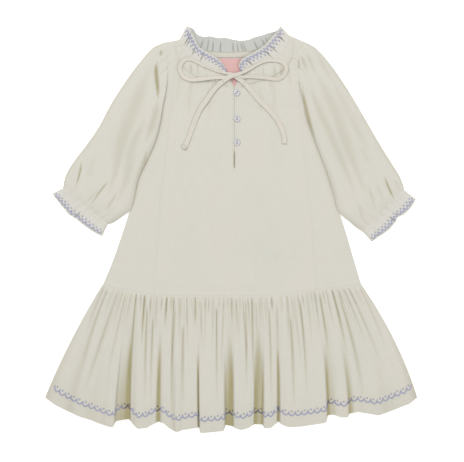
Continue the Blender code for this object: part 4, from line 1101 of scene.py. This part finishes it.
def smoothed_folds(reach):
    """The hem's heights evened out sideways over a reach in mm: places and heights."""
    places = np.arange(FOLDS[0, 0], FOLDS[-1, 0], 0.5)
    heights = soft_between(places, FOLDS[:, 0], FOLDS[:, 3])
    kernel = np.exp(-(np.arange(-3 * reach, 3 * reach + 0.5, 0.5) / reach) ** 2 / 2)
    padded = np.pad(heights, len(kernel) // 2, mode="edge")
    return places, np.convolve(padded, kernel / kernel.sum(), "valid")[:len(places)]


SOFT_FOLDS = smoothed_folds(4.5)


def fold_level(top_x, down):
    """How high the folds stand above their recesses, soft near the seam and as at the hem further down."""
    soft = np.interp(top_x, *SOFT_FOLDS)
    return soft + (soft_between(top_x, FOLDS[:, 0], FOLDS[:, 3]) - soft) * ease(down, 0.15, 0.72)


def skirt_painted_shade(top_x, down):
    """How much painted shade each place of the front tier takes: in its gathers, in the recesses between its
    folds, and a little towards the hem.
    """
    uneven = 0.6 + 0.4 * np.sin(top_x / 7.3 + 1)
    fine = 0.44 * uneven * (0.5 - 0.5 * fine_gathers(top_x, down)) ** 2.5
    painted_shade = fine * window(down, 0, 0.02, 0.05, 0.45)
    for depth, away, run in gather_valleys(top_x, down):
        strength = 0.4 + 0.5 * ease(depth, 1.6, 2.6)
        painted_shade = np.maximum(painted_shade, strength * run * bell(away, 0.85))
    recess = 1 - ease(fold_level(top_x, down), 0.8 + 0.7 * down, 3 + 1.6 * down)
    strength = np.interp(top_x, *np.transpose(RECESS_PAINTED_SHADE))
    cloudy = 0.86 + 0.14 * np.sin(top_x / 2.3 + 4 * down)
    painted_shade = np.maximum(painted_shade, strength * cloudy * recess * ease(down, 0.05, 0.5))
    return np.maximum(painted_shade, 0.1 * ease(down, 0.7, 0.95))


def skirt_front(top_x, down):
    """Places on the front tier: x at the waist seam, and 0 to 1 down to the hem."""
    side = (top_x - FOLDS[0, 0]) / (FOLDS[-1, 0] - FOLDS[0, 0])
    hem_x = np.interp(top_x, FOLDS[:, 0], FOLDS[:, 1])
    hem_y = np.interp(top_x, FOLDS[:, 0], FOLDS[:, 2])
    top_y = front_seam_y(top_x)
    y = top_y + (hem_y - top_y) * down
    gather = 2.7 * window(down, 0, 0.04, 0.12, 0.8)
    opened = 0.25 + 0.75 * ease(down, 0, 0.035)
    for depth, away, run in gather_valleys(top_x, down):
        gather = gather - 1.35 * opened * depth * run * (0.7 * bell(away, 1) + 0.3 * bell(away, 2.8))
    fold = fold_level(top_x, down) * down ** 0.75
    ripple = 0.35 * np.sin(top_x / 3.1 + 1.7 * np.sin(top_x / 23)) * window(down, 0.05, 0.25, 0.5, 1)
    uneven = 0.5 * (0.75 + 0.25 * np.sin(top_x / 13)) * (1 - ease(down, 0.05, 0.42))
    ripple = ripple + uneven * fine_gathers(top_x, down)
    edge_level = BACK_LEVEL + 2
    level = edge_level + (SKIRT_FRONT_LEVEL - edge_level) * ease(np.minimum(side, 1 - side), 0, 0.02)
    tuck = 1.1 * (1 - ease(down, 0, 0.014))
    turned = 0.35 * (1 - ease((1 - down) * (top_y - hem_y), HEM_FOLD - 0.6, HEM_FOLD + 0.6))
    height = level + gather + fold + ripple - tuck + turned
    return np.stack([tier_x(top_x, hem_x, side, down), y, height], axis=-1)


def front_tier():
    top_x, down = np.meshgrid(np.linspace(FOLDS[0, 0], FOLDS[-1, 0], 421), np.linspace(0, 1, 85) ** 1.05)
    item = cloth("front_tier_cloth", skirt_front(top_x, down), ("front_skirt",),
                 valley_depth=9, valley_reach=6.5, valley=skirt_painted_shade(top_x, down))
    places = np.linspace(FOLDS[0, 0] + 1.5, FOLDS[-1, 0] - 1.5, 2500)
    reach = line_lengths(skirt_front(places, np.full(2500, 0.9)))
    drop = front_seam_y(places) - np.interp(places, FOLDS[:, 0], FOLDS[:, 2])

    def at_hem(along, above):
        """Places on the tier, with the painted shade they take there: along its hem as the cloth runs, and
        above the hem's edge.
        """
        place = np.interp(along, reach, places)
        down = 1 - above / np.interp(along, reach, drop)
        return np.hstack([skirt_front(place, down), skirt_painted_shade(place, down)[:, None]])

    count = int(reach[-1] / SCALLOP_PITCH)
    pitch = reach[-1] / count
    part = np.linspace(0, 1, 15)
    peak = SCALLOP_ABOVE_HEM + SCALLOP_HEIGHT
    runs = []
    for start in np.arange(count) * pitch:
        runs.append(at_hem(start + pitch * part, SCALLOP_ABOVE_HEM + SCALLOP_HEIGHT * abs(2 * part - 1) ** 2))
        runs.append(at_hem(np.full(6, start + pitch / 2), peak + np.linspace(0.9, 3.9, 6)))
        runs.append(at_hem(start + pitch * (0.03 + 0.1 * part[::3]), peak + 0.3 + 2 * part[::3]))
    for run in runs:
        run[:, 2] += WALL / 2 + 0.25
    strands("hem_scallops", runs, 1.3, LILAC_THREAD, flat=0.5)
    line = at_hem(np.linspace(0, reach[-1], 1400), np.full(1400, HEM_FOLD - 0.9))[:, :3]
    line[:, 2] += WALL / 2 + 0.1
    stitches("hem_stitches", line, "ivory_cloth", *CLOTH_STITCH, 0.22)


def back_tier():
    across, along = grid(220, 60)
    left_top, right_top = WAIST_ENDS[0] + 0.5, WAIST_ENDS[1] - 0.5
    left_hem, right_hem = HEM_BACK[0][0] + 1, HEM_BACK[-1][0] - 1
    top_x = left_top + (right_top - left_top) * across
    hem_x = left_hem + (right_hem - left_hem) * across
    top_y, hem_y = y_at(WAIST_LINE, top_x), y_at(HEM_BACK_LINE, hem_x)
    y = top_y + (hem_y - top_y) * along
    gather = 1.1 * wave(across + 0.004 * np.sin(across * 40), 34) * (1 - ease(along, 0.1, 0.9))
    soft = 0.3 * (1 + np.sin(across * 46 + 2 * np.sin(across * 11))) * ease(along, 0.3, 1)
    points = np.stack([tier_x(top_x, hem_x, across, along), y, WALL / 2 + gather + soft], axis=-1)
    item = cloth("back_tier_cloth", points, ("back_skirt",), RAMIE_IN_PAINTED_SHADE)


# Sleeves and cuffs

def ring(top_columns, under_columns):
    """Around a flattened tube: place across, and 1 for its upper layer or -1 for its under layer."""
    top = np.linspace(0, 1, top_columns + 1)
    under = np.linspace(1, 0, under_columns + 1)[1:-1]
    return np.concatenate([top, under]), np.concatenate([np.ones(len(top)), -np.ones(len(under))])


def rounded(distance, radius):
    """How far a fold's edge has opened at a distance from it, as a quarter circle."""
    part = np.clip(1 - distance / radius, 0, 1)
    return np.sqrt(1 - part ** 2)


def sleeve(name, outer_rows, inner_rows, body_line, underarm_y, side, crease_rows):
    outer_line, inner_line = outline(outer_rows), outline(inner_rows)
    armhole = beside(body_line, -side * 0.2)[body_line[:, 1] >= underarm_y]
    around, layers = ring(110, 40)
    down = np.linspace(0, 1, 111) ** 1.15
    across, along = np.meshgrid(around, down)
    on_top = np.meshgrid(layers, down)[0] > 0
    outer, inner = at_part(outer_line, along), at_part(inner_line, along)
    to_armhole = at_part(armhole, across) - between(outer_line[0], inner_line[0], across)
    plan = between(outer, inner, across) + to_armhole * (1 - along[..., None]) ** 3
    x, y = plan[..., 0], plan[..., 1]
    length = line_lengths(outer_line)[-1]
    from_edge = np.minimum(across, 1 - across) * np.linalg.norm(outer - inner, axis=-1)
    over_bodice = ease(across, 0.45, 0.75) * (1 - ease(along, 0.84, 0.99))
    under = BACK_LEVEL + (SLEEVE_OVER_BODICE - BACK_LEVEL) * over_bodice
    puff = 3 * (4 * across * (1 - across)) ** 0.6 * ease(along, -0.1, 0.25)
    puff = puff * (1 - 0.4 * ease(along, 0.85, 1))
    head = 1.2 * wave(across + 0.02 * np.sin(across * 30), 7, 0.8) * (1 - ease(along, 0.015, 0.2))
    head = head * window(across, 0, 0.1, 0.6, 0.9)
    cuff_gathers = 1.2 * wave(across + 0.012 * np.sin(across * 37), 8, 0.7) * ease(along, 0.84, 1)
    slack = 0.35 * np.sin(x / 9 + y / 23) * np.sin(y / 31 - x / 17) * ease(along, 0.05, 0.2)
    depth, painted_shade = creases(x, y, crease_rows)
    pressed = np.minimum(depth, puff + 0.6)
    high = np.maximum(under + 2.8, 3.4) + puff + head + cuff_gathers + slack - pressed
    seam_level = np.maximum(front_level(y) - 0.4, under + 0.9)
    high = seam_level + (high - seam_level) * rounded(along * length + 0.6, 7.5)
    high = CUFF_LEVEL + (high - CUFF_LEVEL) * (0.1 + 0.9 * ease((1 - along) * length, -4, 14))
    fold = under + 0.7
    upper = fold + (high - fold) * (1 - (1 - np.clip(from_edge / 12, 0, 1)) ** 2)
    lower = under - 0.15 + 0.6 * (1 - rounded(from_edge, 3.2))
    points = raised(plan, np.where(on_top, upper, lower))
    # The creases of the upper layer take painted shade.
    item = cloth(name + "_cloth", points, (name,), closed=True, flip=side > 0,
                 valley_depth=7, valley_reach=9, valley=painted_shade * on_top)


CUFF_START = -0.07        # the ruffle's upper edge, tucked under the sleeve's end
CUFF_BREADTH = 95


def cuff_notch(across, along):
    """The one tight nick of each cuff's ruffle, at its free edge."""
    return bell(across - 0.52 + 0.02 * along, 0.013) * ease(along, 0.35, 0.75)


def cuff_point(base_outer, base_inner, edge_line, across, along):
    """Places on the upper layer of a cuff's ruffle."""
    base = between(np.array(base_outer), np.array(base_inner), across)
    plan = between(base, at_part(edge_line, across), along)
    from_edge = np.minimum(across, 1 - across)
    flute = (0.5 + 1.2 * along) * wave(across + 0.02 * np.sin(across * 31), 7, 0.7) * ease(from_edge, 0, 0.08)
    dimples = 0.9 * bell(along - 0.16, 0.16) * (wave(across + 0.02 * np.sin(across * 43), 9, 0.6) - 0.4)
    height = BACK_LEVEL + 2.8 + 0.45 * (1 - ease(along, 0, 0.3)) + flute + dimples
    height = height - 1.6 * cuff_notch(across, along) - 0.6 * (1 - ease(along, CUFF_START, 0))
    fold = BACK_LEVEL + 1.2
    return raised(plan, fold + (height - fold) * rounded(from_edge * CUFF_BREADTH, 3))


def cuff(side, base_outer, base_inner, edge_rows, flip):
    edge_line = outline(edge_rows)
    around, layers = ring(150, 40)
    down = np.linspace(CUFF_START, 1, 24)
    across, along = np.meshgrid(around, down)
    on_top = np.meshgrid(layers, down)[0] > 0
    points = cuff_point(base_outer, base_inner, edge_line, across, along)
    from_edge = np.minimum(across, 1 - across) * CUFF_BREADTH
    lower = BACK_LEVEL - 0.15 + 1.2 * (1 - rounded(from_edge, 3))
    points[..., 2] = np.where(on_top, points[..., 2], lower)
    # Painted shade in the notch and along the free edge.
    painted_shade = np.maximum(0.9 * cuff_notch(across, along) * on_top, 0.22 * ease(along, 0.8, 1))
    item = cloth("cuff_" + side + "_cloth", points, ("cuff_ruffle_" + side,), TRIM,
                 closed=True, flip=flip, valley=painted_shade)

    def surface(place, out):
        return cuff_point(base_outer, base_inner, edge_line, place, 1 - out)

    scallop_row("cuff_scallops_" + side, 13, 0.12, 0.46, surface, 1.15)
    for row, out in (("edge", 0.1), ("elastic", 0.93)):
        line = surface(np.linspace(0.03, 0.97, 200), np.full(200, out))
        line[:, 2] += WALL / 2 + 0.1
        stitches(f"cuff_{row}_stitches_{side}", line, "embroidered_trim", *TRIM_STITCH)


# Buttons

def circle(curve, centre, radius, sides):
    spline = curve.splines.new("POLY")
    spline.points.add(sides - 1)
    for index in range(sides):
        angle = 2 * np.pi * index / sides
        spline.points[index].co = ((centre[0] + radius * np.cos(angle)) * MM,
                                   (centre[1] + radius * np.sin(angle)) * MM, 0, 1)
    spline.use_cyclic_u = True


def pearl_curve(name, circles, place, bevel, resolution, **settings):
    """Circles of pearl: each has its centre, radius and number of sides."""
    data = bpy.data.curves.new(name, "CURVE")
    for setting, value in settings.items():
        setattr(data, setting, value)
    data.bevel_depth = bevel * MM
    data.bevel_resolution = resolution
    for centre, radius, sides in circles:
        circle(data, centre, radius, sides)
    data.materials.append(PEARL_SHELL)
    item = bpy.data.objects.new(name, data)
    item.location = np.array(place) * MM
    bpy.context.scene.collection.objects.link(item)
    return belong(item)


def button(number, x, y, turn):
    angle = np.radians(turn)
    spread = BUTTON_HOLE_SPREAD * np.array([np.cos(angle), np.sin(angle)])
    holes = [-spread, spread]
    seat = front_level(y) + WALL / 2 + 0.6
    circles = [((0, 0), BUTTON_RADIUS - 0.35, 64)] + [(hole, BUTTON_HOLE_RADIUS + 0.3, 20) for hole in holes]
    shell = pearl_curve(f"button_{number}_shell", circles, (x, y, seat + 0.8), 0.35, 3,
                        dimensions="2D", fill_mode="BOTH", extrude=0.45 * MM)
    pearl_curve(f"button_{number}_rim", [((0, 0), BUTTON_RADIUS - 0.7, 64)], (x, y, seat + 1.35), 0.62, 4,
                dimensions="3D")
    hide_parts(f"button_{number}")
    part = np.linspace(-1, 1, 7)[:, None]
    height = seat + 0.7 + np.cos(np.pi / 2 * part).clip(0) ** 0.5
    sideways = np.array([-spread[1], spread[0]]) / BUTTON_HOLE_SPREAD
    # The thread takes painted shade towards the holes it runs into.
    runs = [np.hstack([part * spread + sideways * shift + (x, y), height, abs(part) ** 0.7])
            for shift in (-0.28, 0.28)]
    strands(f"button_{number}_thread", runs, 0.26, SEWING_THREAD)
    # Thread going down into each hole, in full painted shade for the dark inside of the hole.
    knots = ((-0.3, 0.25), (0, 0.75), (0.3, 1))
    shaded_plugs = [[(x + hole[0] + shift, y + hole[1], seat + up, 1) for shift, up in knots] for hole in holes]
    strands(f"button_{number}_hole_threads_in_painted_shade", shaded_plugs, 0.95, LILAC_THREAD, sides=10, flat=1)


def seam_stitches():
    """Rows of topstitching on the front."""
    x = np.linspace(-217, 220, 900)
    rows = {"waist": (x, y_at(WAIST_LINE, x) + 4)}
    y = np.linspace(282, -104, 800)
    rows["panel_left"] = (x_at(PANEL_LEFT_LINE, y) - 3.4, y)
    rows["panel_right"] = (x_at(PANEL_RIGHT_LINE, y) + 3.4, y)
    y = np.linspace(232, SLIT_FOOT, 300)
    left, right = SLIT_X - 3.2, SLIT_X + 3.6
    rows["slit_left"] = (np.full(300, left), y)
    rows["slit_right"] = (np.full(300, right), y)
    rows["slit_foot"] = (np.linspace(left, right, 12), np.full(12, SLIT_FOOT - 3.5))
    for side, line, shift, low in (("left", BODY_LEFT_LINE, 3, 214), ("right", BODY_RIGHT_LINE, -3, 212)):
        y = np.linspace(306, low, 240)
        rows["armhole_" + side] = (x_at(line, y) + shift, y)
    for name, (x, y) in rows.items():
        line = np.stack([x, y, front_height(x, y) + WALL / 2 + 0.12], axis=1)
        stitches("stitches_" + name, line, "ivory_cloth", *CLOTH_STITCH)
    for side, neck_rows, edge_rows in (("left", NECK_FRONT_LEFT, CASING_EDGE_LEFT),
                                       ("right", NECK_FRONT_RIGHT, CASING_EDGE_RIGHT)):
        place, along = np.linspace(0.02, 0.97, 300), np.full(300, 0.9)
        x, y = between(at_part(outline(neck_rows), place), at_part(outline(edge_rows), place), along).T
        line = np.stack([x, y, front_height(x, y) + casing_rise(place, along) + WALL / 2 + 0.1], axis=1)
        stitches("casing_stitches_" + side, line, "ivory_cloth", *CASING_STITCH)


FLOOR_REACH = 6000


def light(name, size, power, place):
    """An area light that shines at the middle of the dress."""
    data = bpy.data.lights.new(name, "AREA")
    data.size = size
    data.energy = power
    item = bpy.data.objects.new(name, data)
    item.location = place
    aim = -np.array(place)
    item.rotation_euler = (np.arctan2(np.hypot(aim[0], aim[1]), -aim[2]), 0, np.arctan2(-aim[0], aim[1]))
    bpy.context.scene.collection.objects.link(item)


def studio():
    world = bpy.data.worlds.new("studio")
    bpy.context.scene.world = world
    world.use_nodes = True
    fill(world.node_tree.nodes["Background"], {"Color": grey(1), "Strength": 0.45})
    light("key", 2, 52, (-0.9, 1.5, 2.8))
    light("fill", 2, 25, (1.4, -0.5, 2.7))
    corners = [(x * FLOOR_REACH, y * FLOOR_REACH, -0.4) for x, y in ((-1, -1), (1, -1), (1, 1), (-1, 1))]
    floor = add_mesh("floor", corners, [[0, 1, 2, 3]], floor_material())
    bpy.context.scene.view_settings.view_transform = "Standard"


back_panel()
back_tier()
yoke("yoke_left", BODY_LEFT_LINE, NECK_FRONT_LEFT, 282.3, 299.5, True)
yoke("yoke_right", BODY_RIGHT_LINE, NECK_FRONT_RIGHT, 288.6, 302, False)
front_side("front_side_left", BODY_LEFT_LINE, PANEL_LEFT_LINE, 283, 290, True)
front_side("front_side_right", BODY_RIGHT_LINE, PANEL_RIGHT_LINE, 290, 289.8, False)
front_centre_panel()
neck_trims()
label()
front_tier()
sleeve("sleeve_left", SLEEVE_LEFT_OUTER, SLEEVE_LEFT_INNER, BODY_LEFT_LINE, 210, -1, CREASES_LEFT)
sleeve("sleeve_right", SLEEVE_RIGHT_OUTER, SLEEVE_RIGHT_INNER, BODY_RIGHT_LINE, 209, 1, CREASES_RIGHT)
cuff("left", (-286.7, 68.8), (-210.7, 7.8), CUFF_LEFT_EDGE, False)
cuff("right", (294.7, 65.8), (224.8, -4.8), CUFF_RIGHT_EDGE, True)
for number, (button_x, button_y, hole_turn) in enumerate(BUTTONS, start=1):
    button(number, button_x, button_y, hole_turn)
seam_stitches()
studio()
